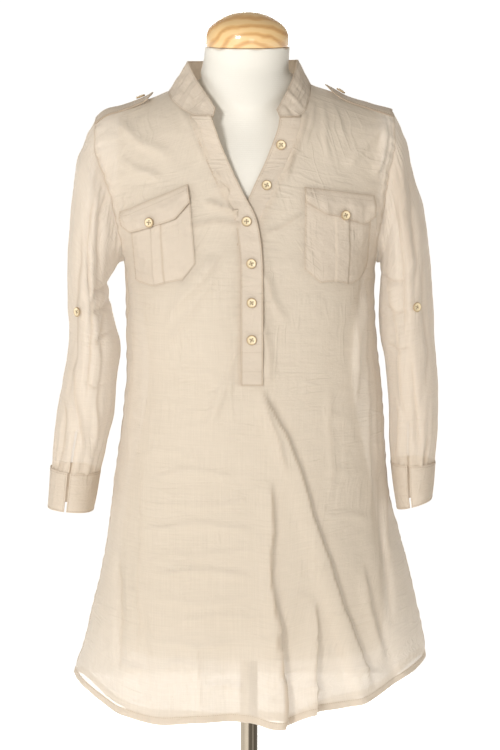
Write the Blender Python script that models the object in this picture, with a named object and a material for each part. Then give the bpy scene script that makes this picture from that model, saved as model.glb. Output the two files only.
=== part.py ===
"""Popover tunic blouse on a limbless dress form, in metres, +Z up, front towards -Y.

The origin is the middle of the stand's underside, on the floor.
"""

import math

import bmesh
import bpy
import numpy as np

# Driving dimensions, in metres
CLOTH = 0.0014
LAYER = 0.0020
SEAM_GAP = 0.0004
BAND_WIDTH = 0.026
BAND_LAP = 0.005
COLLAR_LIFT = 0.9
BUTTON_RADIUS = 0.0060
BUTTON_THICK = 0.0022
FLOOR_CLEAR = 0.0003
SETTLE_ROUNDS = 10
SKIRT_ROWS = 15
CHEST_ROWS = 5
UPPER_ROWS = 10
NECK_ROW = 7
FRONT_HALF = 13
SLIT_CELLS = 2
BACK_HALF = 12
SLIT_HALF_TURN = 0.045
SLIT_SHARE_LEFT = 0.281
SLIT_SHARE_RIGHT = 0.208

# Heights of the garment's levels
SLIT_Z = 1.0405
BAND_FOOT_Z = 1.0365
ARMPIT_Z = 1.172
FALL_Z = 1.20
NECK_FRONT_Z = 1.3497

# How fast the panels turn over the shoulder ridge
FALL_POWER = 2.2
FALL_ROOT = 0.625
RIDGE_BODY_Z = 1.35
SEAM_TILT = 0.12

# How closely the upper rows and columns crowd towards the shoulder and the armhole
UPPER_CROWD = 1.25
SPREAD_POWER = 0.9

# Shoulder straps
STRAP_ROWS = 9
STRAP_COLUMNS = 6
STRAP_HALF = 0.0190
STRAP_POINT = 0.10
STRAP_FREE_SHARE = 0.55
STRAP_FREE_LIFT = 0.0175

# The middle of the cloth at each height: side edges, front and back depth, squareness
BODY_COLUMNS = ("z", "left", "right", "front", "back", "power")
BODY = (
    (0.600, -0.2260, 0.2200, 0.1500, 0.1580, 2.05),
    (0.674, -0.2110, 0.2140, 0.1470, 0.1540, 2.05),
    (0.714, -0.1980, 0.2110, 0.1430, 0.1500, 2.10),
    (0.760, -0.1870, 0.2015, 0.1390, 0.1440, 2.10),
    (0.802, -0.1770, 0.1917, 0.1350, 0.1390, 2.15),
    (0.846, -0.1690, 0.1800, 0.1310, 0.1340, 2.15),
    (0.900, -0.1625, 0.1665, 0.1275, 0.1270, 2.20),
    (0.984, -0.1510, 0.1610, 0.1240, 0.1120, 2.25),
    (1.036, -0.1465, 0.1560, 0.1230, 0.1000, 2.25),
    (1.105, -0.1470, 0.1505, 0.1225, 0.0960, 2.30),
    (1.172, -0.1490, 0.1510, 0.1190, 0.0980, 2.30),
    (1.200, -0.1575, 0.1583, 0.1150, 0.1010, 2.30),
    (1.220, -0.1655, 0.1657, 0.1120, 0.1030, 2.30),
    (1.250, -0.1760, 0.1760, 0.1095, 0.1060, 2.30),
    (1.285, -0.1890, 0.1870, 0.1080, 0.1080, 2.30),
    (1.310, -0.2030, 0.2000, 0.1090, 0.1110, 2.30),
    (1.350, -0.2180, 0.2150, 0.1260, 0.1250, 2.30),
    (1.400, -0.2250, 0.2220, 0.1400, 0.1350, 2.30),
)

# The shoulder ridge, from the middle out
RIDGE = (
    (0.0000, 1.4200), (0.0500, 1.3975), (0.0739, 1.3830), (0.0965, 1.3750), (0.1148, 1.3672),
    (0.1430, 1.3583), (0.1708, 1.3502), (0.1836, 1.3405), (0.1920, 1.3300), (0.2200, 1.2900),
)

# Hem heights along x
HEM_FRONT = (
    (-0.213, 0.6735), (-0.160, 0.6445), (-0.115, 0.6340), (-0.050, 0.6375), (0.000, 0.6385), (0.035, 0.6320),
    (0.075, 0.6480), (0.110, 0.6520), (0.140, 0.6570), (0.174, 0.6735), (0.213, 0.6920),
)
HEM_BACK = (
    (-0.213, 0.6735), (-0.160, 0.6090), (-0.115, 0.5890), (-0.050, 0.5835), (0.000, 0.5835), (0.050, 0.5880),
    (0.100, 0.6035), (0.160, 0.6320), (0.213, 0.6920),
)

# Free edges of the neck bands: z, x
OVER_EDGE = (
    (1.0300, 0.0165), (1.1340, 0.0162), (1.1800, 0.0159), (1.2076, 0.0135), (1.2270, 0.0099), (1.2390, 0.0058),
    (1.2516, -0.0009), (1.2620, -0.0067), (1.2820, -0.0165), (1.3080, -0.0282), (1.3345, -0.0380),
    (1.3497, -0.0435),
)
UNDER_SEAM = (
    (1.0300, 0.0125), (1.1800, 0.0125), (1.2150, 0.0118), (1.2286, 0.0126), (1.2529, 0.0239), (1.2746, 0.0337),
    (1.3005, 0.0461), (1.3345, 0.0594), (1.3497, 0.0625),
)

# Neckline from the band's top out to the shoulder: x, z
NECK_LEFT = ((-0.0645, 1.3497), (-0.0800, 1.3570), (-0.0915, 1.3655), (-0.0965, 1.3750))
NECK_RIGHT = ((0.0625, 1.3497), (0.0690, 1.3590), (0.0728, 1.3710), (0.0739, 1.3830))
NECK_BACK_Z = 1.3760

# Armhole edge from the armpit up to the shoulder tip: x, z
ARM_LEFT = (
    (-0.1490, 1.1720), (-0.1525, 1.2005), (-0.1566, 1.2190), (-0.1635, 1.2514), (-0.1740, 1.2800),
    (-0.1829, 1.3060), (-0.1836, 1.3405),
)
ARM_RIGHT = (
    (0.1510, 1.1720), (0.1528, 1.2006), (0.1566, 1.2190), (0.1617, 1.2514), (0.1671, 1.2855), (0.1735, 1.3104),
    (0.1720, 1.3498),
)

# Folds of the skirt. Columns: x0, z0, x1, z1, width left, width right, height at the end
FOLDS_FRONT = (
    (0.0280, 0.900, 0.0330, 0.625, 0.020, 0.007, 0.0130),
    (0.0790, 0.800, 0.0720, 0.640, 0.022, 0.007, 0.0100),
    (0.0170, 1.036, 0.1400, 0.650, 0.012, 0.014, 0.0085),
    (-0.1590, 0.820, -0.1570, 0.650, 0.010, 0.012, 0.0070),
    (-0.0900, 0.860, -0.1050, 0.625, 0.020, 0.020, 0.0065),
    (-0.0250, 0.800, -0.0250, 0.630, 0.016, 0.016, -0.0075),
    (0.1150, 0.900, 0.1750, 0.670, 0.010, 0.010, -0.0060),
)
FOLDS_BACK = (
    (0.0000, 1.000, 0.0100, 0.620, 0.024, 0.018, 0.0130),
    (-0.0600, 0.900, -0.0850, 0.625, 0.018, 0.012, 0.0110),
    (0.0700, 0.920, 0.0900, 0.625, 0.014, 0.020, 0.0110),
    (-0.1200, 0.850, -0.1500, 0.640, 0.014, 0.014, 0.0085),
    (0.1250, 0.860, 0.1500, 0.640, 0.014, 0.014, -0.0085),
    (0.0400, 0.850, 0.0480, 0.620, 0.012, 0.012, -0.0070),
    (-0.0350, 0.850, -0.0400, 0.620, 0.012, 0.012, -0.0070),
)

# Sleeve rings from the armhole down. Columns: outer x, outer z, inner x, inner z, half depth, middle y
SLEEVE_LEFT = (
    (-0.2000, 1.3050, -0.1560, 1.1690, 0.066, 0.004),
    (-0.2068, 1.2818, -0.1610, 1.1600, 0.070, 0.002),
    (-0.2137, 1.2260, -0.1655, 1.1450, 0.073, 0.000),
    (-0.2168, 1.1726, -0.1645, 1.1250, 0.073, -0.004),
    (-0.2165, 1.1250, -0.1600, 1.0980, 0.071, -0.008),
    (-0.2153, 1.0880, -0.1550, 1.0750, 0.069, -0.011),
    (-0.2190, 1.0550, -0.1560, 1.0480, 0.066, -0.014),
    (-0.2245, 1.0230, -0.1590, 1.0180, 0.062, -0.016),
    (-0.2300, 0.9850, -0.1630, 0.9850, 0.056, -0.017),
    (-0.2338, 0.9580, -0.1700, 0.9560, 0.050, -0.017),
    (-0.2365, 0.9245, -0.1796, 0.9200, 0.044, -0.016),
)
SLEEVE_RIGHT = (
    (0.1905, 1.3080, 0.1575, 1.1700, 0.066, 0.004),
    (0.1975, 1.2790, 0.1580, 1.1600, 0.070, 0.002),
    (0.2119, 1.2165, 0.1570, 1.1430, 0.073, 0.000),
    (0.2168, 1.1780, 0.1560, 1.1250, 0.073, -0.004),
    (0.2195, 1.1350, 0.1560, 1.1040, 0.071, -0.008),
    (0.2218, 1.1016, 0.1575, 1.0790, 0.068, -0.011),
    (0.2235, 1.0650, 0.1640, 1.0500, 0.064, -0.014),
    (0.2265, 1.0230, 0.1670, 1.0150, 0.060, -0.016),
    (0.2268, 0.9900, 0.1675, 0.9850, 0.054, -0.017),
    (0.2250, 0.9560, 0.1690, 0.9560, 0.048, -0.017),
    (0.2225, 0.9310, 0.1710, 0.9310, 0.044, -0.016),
)
CUFF_LEFT = (
    (-0.2367, 0.9235, -0.1798, 0.9190, 0.0440, -0.016),
    (-0.2385, 0.9000, -0.1840, 0.8960, 0.0425, -0.016),
    (-0.2402, 0.8775, -0.1880, 0.8740, 0.0415, -0.016),
)
CUFF_RIGHT = (
    (0.2225, 0.9300, 0.1712, 0.9300, 0.0440, -0.016),
    (0.2205, 0.9100, 0.1745, 0.9030, 0.0425, -0.016),
    (0.2187, 0.8900, 0.1790, 0.8760, 0.0415, -0.016),
)

# The dress form. Columns: z, half width, front depth, back depth, middle x
FORM = (
    (0.7050, 0.1560, 0.1120, 0.1180, 0.002),
    (0.7100, 0.1600, 0.1150, 0.1210, 0.002),
    (0.7900, 0.1610, 0.1160, 0.1240, 0.002),
    (0.8600, 0.1530, 0.1130, 0.1190, 0.002),
    (0.9300, 0.1400, 0.1050, 0.1050, 0.002),
    (0.9900, 0.1270, 0.0960, 0.0880, 0.002),
    (1.0400, 0.1200, 0.0950, 0.0780, 0.002),
    (1.1000, 0.1270, 0.1030, 0.0780, 0.001),
    (1.1600, 0.1370, 0.1080, 0.0840, 0.000),
    (1.2000, 0.1420, 0.1040, 0.0880, 0.000),
)
FORM_SHOULDER_HALF = 0.1600
FORM_SHOULDER_DROP = 0.0013
FORM_SHOULDER_ROOT = 0.9
FORM_POWER = 2.2
FORM_NECK_HALF = 0.0560
FORM_NECK_FRONT = 0.0600
FORM_NECK_BACK = 0.0520
FORM_NECK_DIP = 0.0300
NECK_TOP = (
    (1.3975, 0.0535, 0.0520, -0.0056),
    (1.4060, 0.0515, 0.0500, -0.0040),
    (1.4200, 0.0508, 0.0500, -0.0024),
    (1.4280, 0.0512, 0.0506, -0.0019),
)
CAP_X = -0.0019
CAP_PROFILE = (
    (0.0497, 1.4284), (0.0500, 1.4300), (0.0499, 1.4400), (0.0490, 1.4445), (0.0467, 1.4502), (0.0420, 1.4558),
    (0.0350, 1.4606), (0.0250, 1.4655), (0.0140, 1.4690), (0.0060, 1.4699),
)
POLE_RADIUS = 0.0108
BASE_PROFILE = (
    (0.1700, 0.0000), (0.1740, 0.0030), (0.1740, 0.0090), (0.1700, 0.0130), (0.1200, 0.0180), (0.0500, 0.0240),
    (0.0280, 0.0300), (0.0240, 0.0420),
)
BASE_TOP = 0.0420

# Pockets and flaps on the front. Columns: share across, top x, top z, foot x, foot z
POCKET_LEFT = (
    (0.00, -0.1400, 1.2330, -0.1330, 1.1560),
    (0.08, -0.1345, 1.2350, -0.1290, 1.1530),
    (0.30, -0.1178, 1.2410, -0.1130, 1.1500),
    (0.34, -0.1150, 1.2420, -0.1105, 1.1503),
    (0.52, -0.1040, 1.2460, -0.0985, 1.1545),
    (0.56, -0.1010, 1.2470, -0.0960, 1.1555),
    (0.80, -0.0830, 1.2530, -0.0775, 1.1595),
    (1.00, -0.0695, 1.2580, -0.0625, 1.1790),
)
POCKET_RIGHT = (
    (0.00, 0.0655, 1.2560, 0.0648, 1.1730),
    (0.22, 0.0840, 1.2540, 0.0830, 1.1560),
    (0.44, 0.0985, 1.2520, 0.0985, 1.1570),
    (0.48, 0.1010, 1.2515, 0.1010, 1.1568),
    (0.68, 0.1175, 1.2490, 0.1155, 1.1530),
    (0.72, 0.1200, 1.2480, 0.1180, 1.1520),
    (0.86, 0.1320, 1.2460, 0.1290, 1.1560),
    (1.00, 0.1440, 1.2440, 0.1390, 1.1690),
)
FLAP_LEFT = (
    (0.00, -0.1515, 1.2364, -0.1470, 1.2200),
    (0.12, -0.1420, 1.2400, -0.1373, 1.2125),
    (0.45, -0.1150, 1.2524, -0.1100, 1.2215),
    (0.62, -0.1030, 1.2575, -0.0985, 1.2255),
    (0.80, -0.0880, 1.2640, -0.0854, 1.2304),
    (1.00, -0.0713, 1.2714, -0.0685, 1.2509),
)
FLAP_RIGHT = (
    (0.00, 0.0647, 1.2679, 0.0659, 1.2500),
    (0.25, 0.0870, 1.2650, 0.0882, 1.2364),
    (0.45, 0.1035, 1.2625, 0.1047, 1.2327),
    (0.62, 0.1180, 1.2602, 0.1190, 1.2280),
    (0.82, 0.1330, 1.2580, 0.1328, 1.2226),
    (1.00, 0.1467, 1.2560, 0.1455, 1.2310),
)

# Buttons: x, z and how many layers lie below
BUTTON_SPOTS = (
    ("button_1", 0.0376, 1.3174, -1.0),
    ("button_2", 0.0207, 1.2710, -1.0),
    ("button_3", -0.0028, 1.2288, 1.0),
    ("button_4", 0.0027, 1.1799, 1.0),
    ("button_5", 0.0031, 1.1343, 1.0),
    ("button_6", 0.0031, 1.0907, 1.0),
    ("button_flap_l", -0.1139, 1.2262, 2.9),
    ("button_flap_r", 0.1104, 1.2345, 2.9),
)

# Materials: colour, roughness, metallic
CLOTH_FINISH = ("voile", (0.72, 0.60, 0.45), 0.85, 0.0)
BAND_FINISH = ("voile_double", (0.66, 0.54, 0.40), 0.85, 0.0)
COVER_FINISH = ("form_cover", (0.86, 0.81, 0.72), 0.90, 0.0)
WOOD_FINISH = ("varnished_wood", (0.72, 0.46, 0.20), 0.25, 0.0)
CHROME_FINISH = ("chrome", (0.80, 0.80, 0.80), 0.12, 1.0)
STAND_FINISH = ("stand_paint", (0.30, 0.30, 0.30), 0.40, 0.0)
BUTTON_FINISH = ("button_shell", (0.80, 0.66, 0.42), 0.30, 0.0)


def clear_scene():
    for item in list(bpy.data.objects):
        bpy.data.objects.remove(item, do_unlink=True)


def finish(kind):
    name, colour, roughness, metallic = kind
    material = bpy.data.materials.get(name)
    if material is None:
        material = bpy.data.materials.new(name)
        material.use_nodes = True
        shader = material.node_tree.nodes["Principled BSDF"]
        shader.inputs["Base Color"].default_value = (*colour, 1.0)
        shader.inputs["Roughness"].default_value = roughness
        shader.inputs["Metallic"].default_value = metallic
    return material


def smooth(table, column, at):
    """A smooth curve through one column of a table, read at a value of its first column."""
    keys = [row[0] for row in table]
    rising = keys[-1] > keys[0]
    last = len(table) - 1
    place = 0
    while place < last - 1 and (at > keys[place + 1]) == rising and at != keys[place + 1]:
        place += 1
    before, low, high, after = (table[min(max(place + step, 0), last)] for step in (-1, 0, 1, 2))
    span = high[0] - low[0]
    t = min(max((at - low[0]) / span, 0.0), 1.0)
    slope_low = (high[column] - before[column]) / (high[0] - before[0]) * span
    slope_high = (after[column] - low[column]) / (after[0] - low[0]) * span
    rise = high[column] - low[column]
    return (low[column] + t * slope_low + t * t * (3 * rise - 2 * slope_low - slope_high)
            + t ** 3 * (slope_low + slope_high - 2 * rise))


def along(points, share):
    """The point at a share of the length of a line of points."""
    array = np.array(points)
    steps = np.concatenate([[0.0], np.cumsum(np.linalg.norm(np.diff(array, axis=0), axis=1))])
    return np.array([np.interp(share * steps[-1], steps, array[:, axis]) for axis in range(array.shape[1])])


def ridge_z(x):
    return smooth(RIDGE, 1, abs(x))


def body_row(z):
    return [smooth(BODY, column, z) for column in range(1, len(BODY_COLUMNS))]


def fall(x, z):
    """The share of a panel's depth that is left at a height, on its way up to the shoulder ridge."""
    if z <= FALL_Z:
        return 1.0
    share = min((z - FALL_Z) / (ridge_z(x) - FALL_Z), 1.0)
    return max(1.0 - share ** FALL_POWER, 0.0) ** FALL_ROOT


def fold_height(folds, x, z):
    """How far the skirt's folds lift the cloth at a place."""
    total = 0.0
    for x0, z0, x1, z1, left, right, height in folds:
        share = (z0 - z) / (z0 - z1)
        if share > 0.0:
            offset = x - (x0 + (x1 - x0) * share)
            width = left if offset < 0.0 else right
            total += height * min(share, 1.1) ** 1.3 * math.exp(-((offset / width) ** 2))
    return total


def cloth_point(x, z, back=False):
    """A point of the middle of the cloth, on the front or on the back."""
    left, right, front, rear, power = body_row(z)
    half = (right - left) / 2
    across = min(abs(x - (left + right) / 2) / half, 1.0)
    depth = (1.0 - across ** power) ** (1.0 / power) * fall(x, z)
    lift = fold_height(FOLDS_BACK if back else FOLDS_FRONT, x, z) * min(depth * 2.0, 1.0)
    if back:
        return np.array([x, rear * depth + lift, z])
    return np.array([x, -front * depth - lift, z])


def edge_x(z, share):
    """The x at a share of the half girth, where 1 is the right side seam and -1 the left one."""
    left, right, _, _, power = body_row(z)
    angle = share * math.pi / 2
    across = math.copysign(abs(math.sin(angle)) ** (2.0 / power), share)
    return (left + right) / 2 + (right - left) / 2 * across


def side_share(z, x):
    """The share of the half girth at which a given x lies, the reverse of edge_x."""
    left, right, _, _, power = body_row(z)
    across = (x - (left + right) / 2) / ((right - left) / 2)
    angle = math.asin(min(abs(across), 1.0) ** (power / 2.0))
    return math.copysign(angle / (math.pi / 2), across)


def normals_of(points, wrap=False):
    """Normals of a grid of points that point away from the garment's axis."""
    if wrap:
        columns = np.roll(points, -1, axis=1) - np.roll(points, 1, axis=1)
    else:
        columns = np.gradient(points, axis=1)
    rows = np.gradient(points, axis=0)
    normals = np.cross(columns, rows)
    lengths = np.linalg.norm(normals, axis=2, keepdims=True)
    return normals / np.maximum(lengths, 1e-12)


def new_object(name, mesh_data, kind, rounded=True):
    mesh = bpy.data.meshes.new(name)
    mesh_data.to_mesh(mesh)
    mesh_data.free()
    if rounded:
        mesh.shade_smooth()
        mesh.set_sharp_from_angle(angle=math.radians(40))
    mesh.materials.append(finish(kind))
    item = bpy.data.objects.new(name, mesh)
    bpy.context.collection.objects.link(item)
    return item


def wall(name, points, kind, present=None, offset=0.0, wrap=False, normals=None):
    """A closed wall of cloth on a grid of middle points, moved out by an offset along its normals."""
    rows, columns = points.shape[:2]
    cells = columns if wrap else columns - 1
    if present is None:
        present = np.ones((rows - 1, cells), dtype=bool)
    if normals is None:
        normals = normals_of(points, wrap)
    lift = np.broadcast_to(np.asarray(offset, dtype=float), (rows, columns))[:, :, None]
    work = bmesh.new()
    sides = []
    for half in (CLOTH / 2, -CLOTH / 2):
        placed = points + normals * (lift + half)
        sides.append({})
        for row in range(rows - 1):
            for cell in range(cells):
                if present[row, cell]:
                    for r, c in ((row, cell), (row, cell + 1), (row + 1, cell + 1), (row + 1, cell)):
                        key = (r, c % columns)
                        if key not in sides[-1]:
                            sides[-1][key] = work.verts.new(placed[key])
    outer, inner = sides

    def is_there(row, cell):
        if wrap:
            cell %= cells
        return 0 <= row < rows - 1 and 0 <= cell < cells and present[row, cell]

    for row in range(rows - 1):
        for cell in range(cells):
            if not present[row, cell]:
                continue
            right = (cell + 1) % columns
            loop = [(row, cell), (row, right), (row + 1, right), (row + 1, cell)]
            work.faces.new([outer[key] for key in loop])
            work.faces.new([inner[key] for key in (loop[0], loop[3], loop[2], loop[1])])
            beside = (is_there(row - 1, cell), is_there(row, cell + 1), is_there(row + 1, cell),
                      is_there(row, cell - 1))
            for side, has_cell in enumerate(beside):
                if not has_cell:
                    start, end = loop[side], loop[(side + 1) % 4]
                    work.faces.new([outer[end], outer[start], inner[start], inner[end]])
    bmesh.ops.triangulate(work, faces=work.faces, quad_method="FIXED")
    bmesh.ops.recalc_face_normals(work, faces=work.faces)
    return new_object(name, work, kind)


def hem_z(table, x):
    return smooth(table, 1, min(max(x, table[0][0]), table[-1][0]))


def upper_level(row):
    """How far up from the armpit a row lies, closer together near the shoulder."""
    return 1.0 - (1.0 - row / UPPER_ROWS) ** UPPER_CROWD


def rise_rows():
    """Levels of the rows: hem to slit end, slit end to armpit, armpit to shoulder."""
    skirt = [("skirt", row / SKIRT_ROWS) for row in range(SKIRT_ROWS)]
    chest = [("chest", row / CHEST_ROWS) for row in range(CHEST_ROWS)]
    upper = [("upper", upper_level(row)) for row in range(UPPER_ROWS + 1)]
    return skirt + chest + upper


def front_edge(side, level):
    """A point of the inner edge of one half front: up beside the placket, then out along the neckline."""
    table, lap = (OVER_EDGE, -BAND_WIDTH + BAND_LAP) if side < 0 else (UNDER_SEAM, 0.0)
    corner = upper_level(NECK_ROW)
    if level > corner:
        return along(NECK_LEFT if side < 0 else NECK_RIGHT, (level - corner) / (1.0 - corner))
    z = ARMPIT_Z + (NECK_FRONT_Z - ARMPIT_Z) * level / corner
    return np.array([smooth(table, 1, z) + lap, z])


def skirt_z(x, level, back):
    table = HEM_BACK if back else HEM_FRONT
    low = hem_z(table, x)
    return low + (SLIT_Z - low) * level


def front_grid():
    """Middle points of the front, and which cells of the grid are cloth."""
    rows = rise_rows()
    per_side, slit_cells = FRONT_HALF, SLIT_CELLS
    columns = 2 * per_side + slit_cells + 1
    points = np.zeros((len(rows), columns, 3))
    for r, (zone, level) in enumerate(rows):
        for c in range(columns):
            side = -1 if c <= per_side else 1
            in_slit = per_side < c < per_side + slit_cells
            share = (per_side - c) / per_side if side < 0 else (c - per_side - slit_cells) / per_side
            if zone == "upper":
                inner = front_edge(side, level)
                outer = along(ARM_LEFT if side < 0 else ARM_RIGHT, level)
                spread = math.sin(share * math.pi / 2) ** SPREAD_POWER if share > 0 else 0.0
                x, z = inner + (outer - inner) * spread
                neck = (NECK_LEFT if side < 0 else NECK_RIGHT)[-1]
                tip = (ARM_LEFT if side < 0 else ARM_RIGHT)[-1]
                top_x, top_z = (neck[axis] + (tip[axis] - neck[axis]) * spread for axis in (0, 1))
                z += (ridge_z(top_x) - top_z) * level
                if in_slit:
                    x, z = 0.0, ARMPIT_Z + level * 0.1
            else:
                z = SLIT_Z + (ARMPIT_Z - SLIT_Z) * level if zone == "chest" else SLIT_Z
                left_x = smooth(OVER_EDGE, 1, SLIT_Z if zone == "skirt" else z) - BAND_WIDTH + BAND_LAP
                right_x = smooth(UNDER_SEAM, 1, SLIT_Z if zone == "skirt" else z)
                x = 0.0
                for _ in range(SETTLE_ROUNDS):
                    if zone == "skirt":
                        z = skirt_z(x, level, False)
                    if in_slit:
                        x = left_x + (right_x - left_x) * (c - per_side) / slit_cells
                    else:
                        start = side_share(z, left_x if side < 0 else right_x)
                        x = edge_x(z, start + (side - start) * share)
            points[r, c] = cloth_point(x, z)
    present = np.ones((len(rows) - 1, columns - 1), dtype=bool)
    slit_row = next(r for r, (zone, _) in enumerate(rows) if zone == "chest")
    present[slit_row:, per_side:per_side + slit_cells] = False
    return points, present


def back_grid():
    """Middle points of the back."""
    rows = rise_rows()
    per_side = BACK_HALF
    columns = 2 * per_side + 1
    points = np.zeros((len(rows), columns, 3))
    for r, (zone, level) in enumerate(rows):
        for c in range(columns):
            share = (c - per_side) / per_side
            if zone == "upper":
                side = -1 if share < 0 else 1
                neck = (NECK_LEFT if side < 0 else NECK_RIGHT)[-1]
                outer = along(ARM_LEFT if side < 0 else ARM_RIGHT, level)
                centre_z = ARMPIT_Z + (NECK_BACK_Z - ARMPIT_Z) * level
                split = abs(neck[0]) / abs(outer[0])
                reach = math.sin(abs(share) * math.pi / 2) ** SPREAD_POWER
                neck_x = abs(neck[0])
                x = side * abs(outer[0]) * reach
                if level == 1.0 and reach < split:
                    z = centre_z + (neck[1] - centre_z) * (abs(x) / neck_x) ** 2
                else:
                    neck_z = ARMPIT_Z + (neck[1] - ARMPIT_Z) * level
                    if reach < split:
                        z = centre_z + (neck_z - centre_z) * (reach / split) ** 2
                    else:
                        z = neck_z + (outer[1] - neck_z) * (reach - split) / (1 - split)
                        if level == 1.0:
                            z = ridge_z(x)
            else:
                z = SLIT_Z + (ARMPIT_Z - SLIT_Z) * level if zone == "chest" else SLIT_Z
                x = 0.0
                for _ in range(SETTLE_ROUNDS):
                    if zone == "skirt":
                        z = skirt_z(x, level, True)
                    x = edge_x(z, share)
            points[r, c] = cloth_point(x, z, back=True)
    return points[:, ::-1]


def seam_normals(points):
    """Grid normals, made to agree across the side and shoulder seams."""
    normals = normals_of(points)
    normals[-1, :, 1] *= SEAM_TILT
    normals[:SKIRT_ROWS + CHEST_ROWS, (0, -1), 1] = 0.0
    return normals / np.linalg.norm(normals, axis=2, keepdims=True)


def part_seams(points, sign):
    """Moves the shoulder and side edges of a panel apart from its neighbour's by half a seam gap."""
    points[-1, :, 1] += sign * SEAM_GAP / 2
    points[:, (0, -1), 1] += sign * SEAM_GAP / 2
    return points


def build_front():
    points, present = front_grid()
    points = part_seams(points, -1)
    normals = seam_normals(points)
    for row in range(-UPPER_ROWS + NECK_ROW - 2, -1):
        for column in range(FRONT_HALF - 1, FRONT_HALF + SLIT_CELLS + 2):
            normal = surface_normal(points[row, column, 0], points[row, column, 2])
            normals[row, column] = normal / np.linalg.norm(normal)
    wall("front", points, CLOTH_FINISH, present=present, normals=normals)
    return points, normals


def build_back():
    points = part_seams(back_grid(), 1)
    normals = seam_normals(points)
    wall("back", points, CLOTH_FINISH, normals=normals)
    return points, normals


def ellipse_ring(row, angles):
    """Points of a sleeve ring, from the underarm round the front."""
    outer_x, outer_z, inner_x, inner_z, half, mid = row
    ring = []
    for angle in angles:
        share = (1 + math.cos(angle)) / 2
        ring.append((outer_x + (inner_x - outer_x) * share, mid - half * math.sin(angle),
                     outer_z + (inner_z - outer_z) * share))
    return np.array(ring)


def sleeve_loop(front, back, column_front, column_back):
    """The armhole edge from the armpit up the front and down the back, with its normals."""
    upper = UPPER_ROWS + 1
    points = np.concatenate([front[0][-upper:, column_front], back[0][-2:-upper:-1, column_back]])
    normals = np.concatenate([front[1][-upper:, column_front], back[1][-2:-upper:-1, column_back]])
    return points, normals


def slit_column(count, slit_share):
    """The cell of the grid that is left out for a sleeve's slit."""
    return int(slit_share * count)


def sleeve_turns(count, slit_share):
    """The angles of a sleeve's columns at each ring: even at the top, close beside the slit at the cuff."""
    column = slit_column(count, slit_share)
    even = [2 * math.pi * step / count for step in range(count)]
    slit = 2 * math.pi * slit_share
    near = []
    for step in range(count):
        if step <= column:
            near.append((slit - SLIT_HALF_TURN) * step / column)
        else:
            start = slit + SLIT_HALF_TURN
            near.append(start + (2 * math.pi - start) * (step - column - 1) / (count - column - 1))
    rows = len(SLEEVE_LEFT)
    return [[a + (b - a) * min(place / (rows - 3), 1.0) for a, b in zip(even, near)] for place in range(rows)]


def build_sleeve(name, loop, table, side, slit_share):
    """A sleeve from the armhole to the cuff, with its slit beside the cuff's."""
    edge, edge_normals = loop
    count = len(edge)
    turns = sleeve_turns(count, slit_share)
    first = ellipse_ring(table[0], turns[0])
    tangents = np.roll(edge, -1, axis=0) - np.roll(edge, 1, axis=0)
    tangents /= np.linalg.norm(tangents, axis=1, keepdims=True)
    way = first - edge
    way -= tangents * np.sum(way * tangents, axis=1, keepdims=True)
    way /= np.linalg.norm(way, axis=1, keepdims=True)
    square = np.abs(np.sum(way * edge_normals, axis=1, keepdims=True))
    rings = [edge + way * (SEAM_GAP + square * CLOTH * 1.15)]
    rings.append(rings[0] * 0.45 + first * 0.55)
    rings += [ellipse_ring(row, turns[place]) for place, row in enumerate(table)]
    points = np.array(rings)[::-1]
    if side > 0:
        points = points[:, ::-1]
    normals = normals_of(points, wrap=True)
    centre = points.mean(axis=1, keepdims=True)
    if np.sum((points - centre) * normals) < 0:
        normals = -normals
    present = np.ones((len(points) - 1, count), dtype=bool)
    column = slit_column(count, slit_share)
    present[:2, column if side < 0 else count - 2 - column] = False
    wall(name, points, CLOTH_FINISH, present=present, wrap=True, normals=normals)


def build_cuff(name, table, side, slit_share, count=26):
    """A cuff: a band that goes round the wrist from one side of its slit to the other."""
    first = 2 * math.pi * slit_share + SLIT_HALF_TURN
    last = first + 2 * (math.pi - SLIT_HALF_TURN)
    angles = [first + (last - first) * step / count for step in range(count + 1)]
    points = np.array([ellipse_ring(row, angles) for row in table])[::-side]
    wall(name, points, BAND_FINISH)


def strip(rows, table_left, table_right, columns):
    """A grid of points between two edges that are given by x at each height."""
    points = np.zeros((len(rows), columns + 1, 3))
    for r, z in enumerate(rows):
        left, right = table_left(z), table_right(z)
        for c in range(columns + 1):
            points[r, c] = cloth_point(left + (right - left) * c / columns, z)
    return points


def build_bands():
    """The over band from the notch down to its foot, and the under band one layer below."""
    over_rows = np.concatenate([np.linspace(BAND_FOOT_Z, 1.18, 8), np.linspace(1.190, NECK_FRONT_Z, 20)])
    over = strip(over_rows, lambda z: smooth(OVER_EDGE, 1, z) - BAND_WIDTH, lambda z: smooth(OVER_EDGE, 1, z), 3)
    wall("placket_over", over, BAND_FINISH, offset=LAYER)
    under = strip(over_rows, lambda z: smooth(UNDER_SEAM, 1, z) - BAND_WIDTH,
                  lambda z: smooth(UNDER_SEAM, 1, z) + BAND_LAP, 3)
    depth = [-LAYER - 0.0010 * min(max((z - 1.30) / 0.03, 0.0), 1.0) for z in over_rows]
    wall("placket_under", under, BAND_FINISH, offset=np.array(depth)[:, None])


def halved(table):
    """The table with a row put in halfway between each two."""
    made = [table[0]]
    for before, after in zip(table, table[1:]):
        made.append(tuple((a + b) / 2 for a, b in zip(before, after)))
        made.append(after)
    return made


def patch(table, rows, lift):
    """A grid over a table of columns with their top and foot, and how far each point stands off."""
    table = halved(table)
    columns = len(table)
    points = np.zeros((rows + 1, columns, 3))
    offset = np.zeros((rows + 1, columns))
    for r in range(rows + 1):
        share = r / rows
        for c, (u, x_top, z_top, x_foot, z_foot) in enumerate(table):
            points[r, c] = cloth_point(x_foot + (x_top - x_foot) * share, z_foot + (z_top - z_foot) * share)
            offset[r, c] = lift(u, share)
    return points, offset


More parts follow.
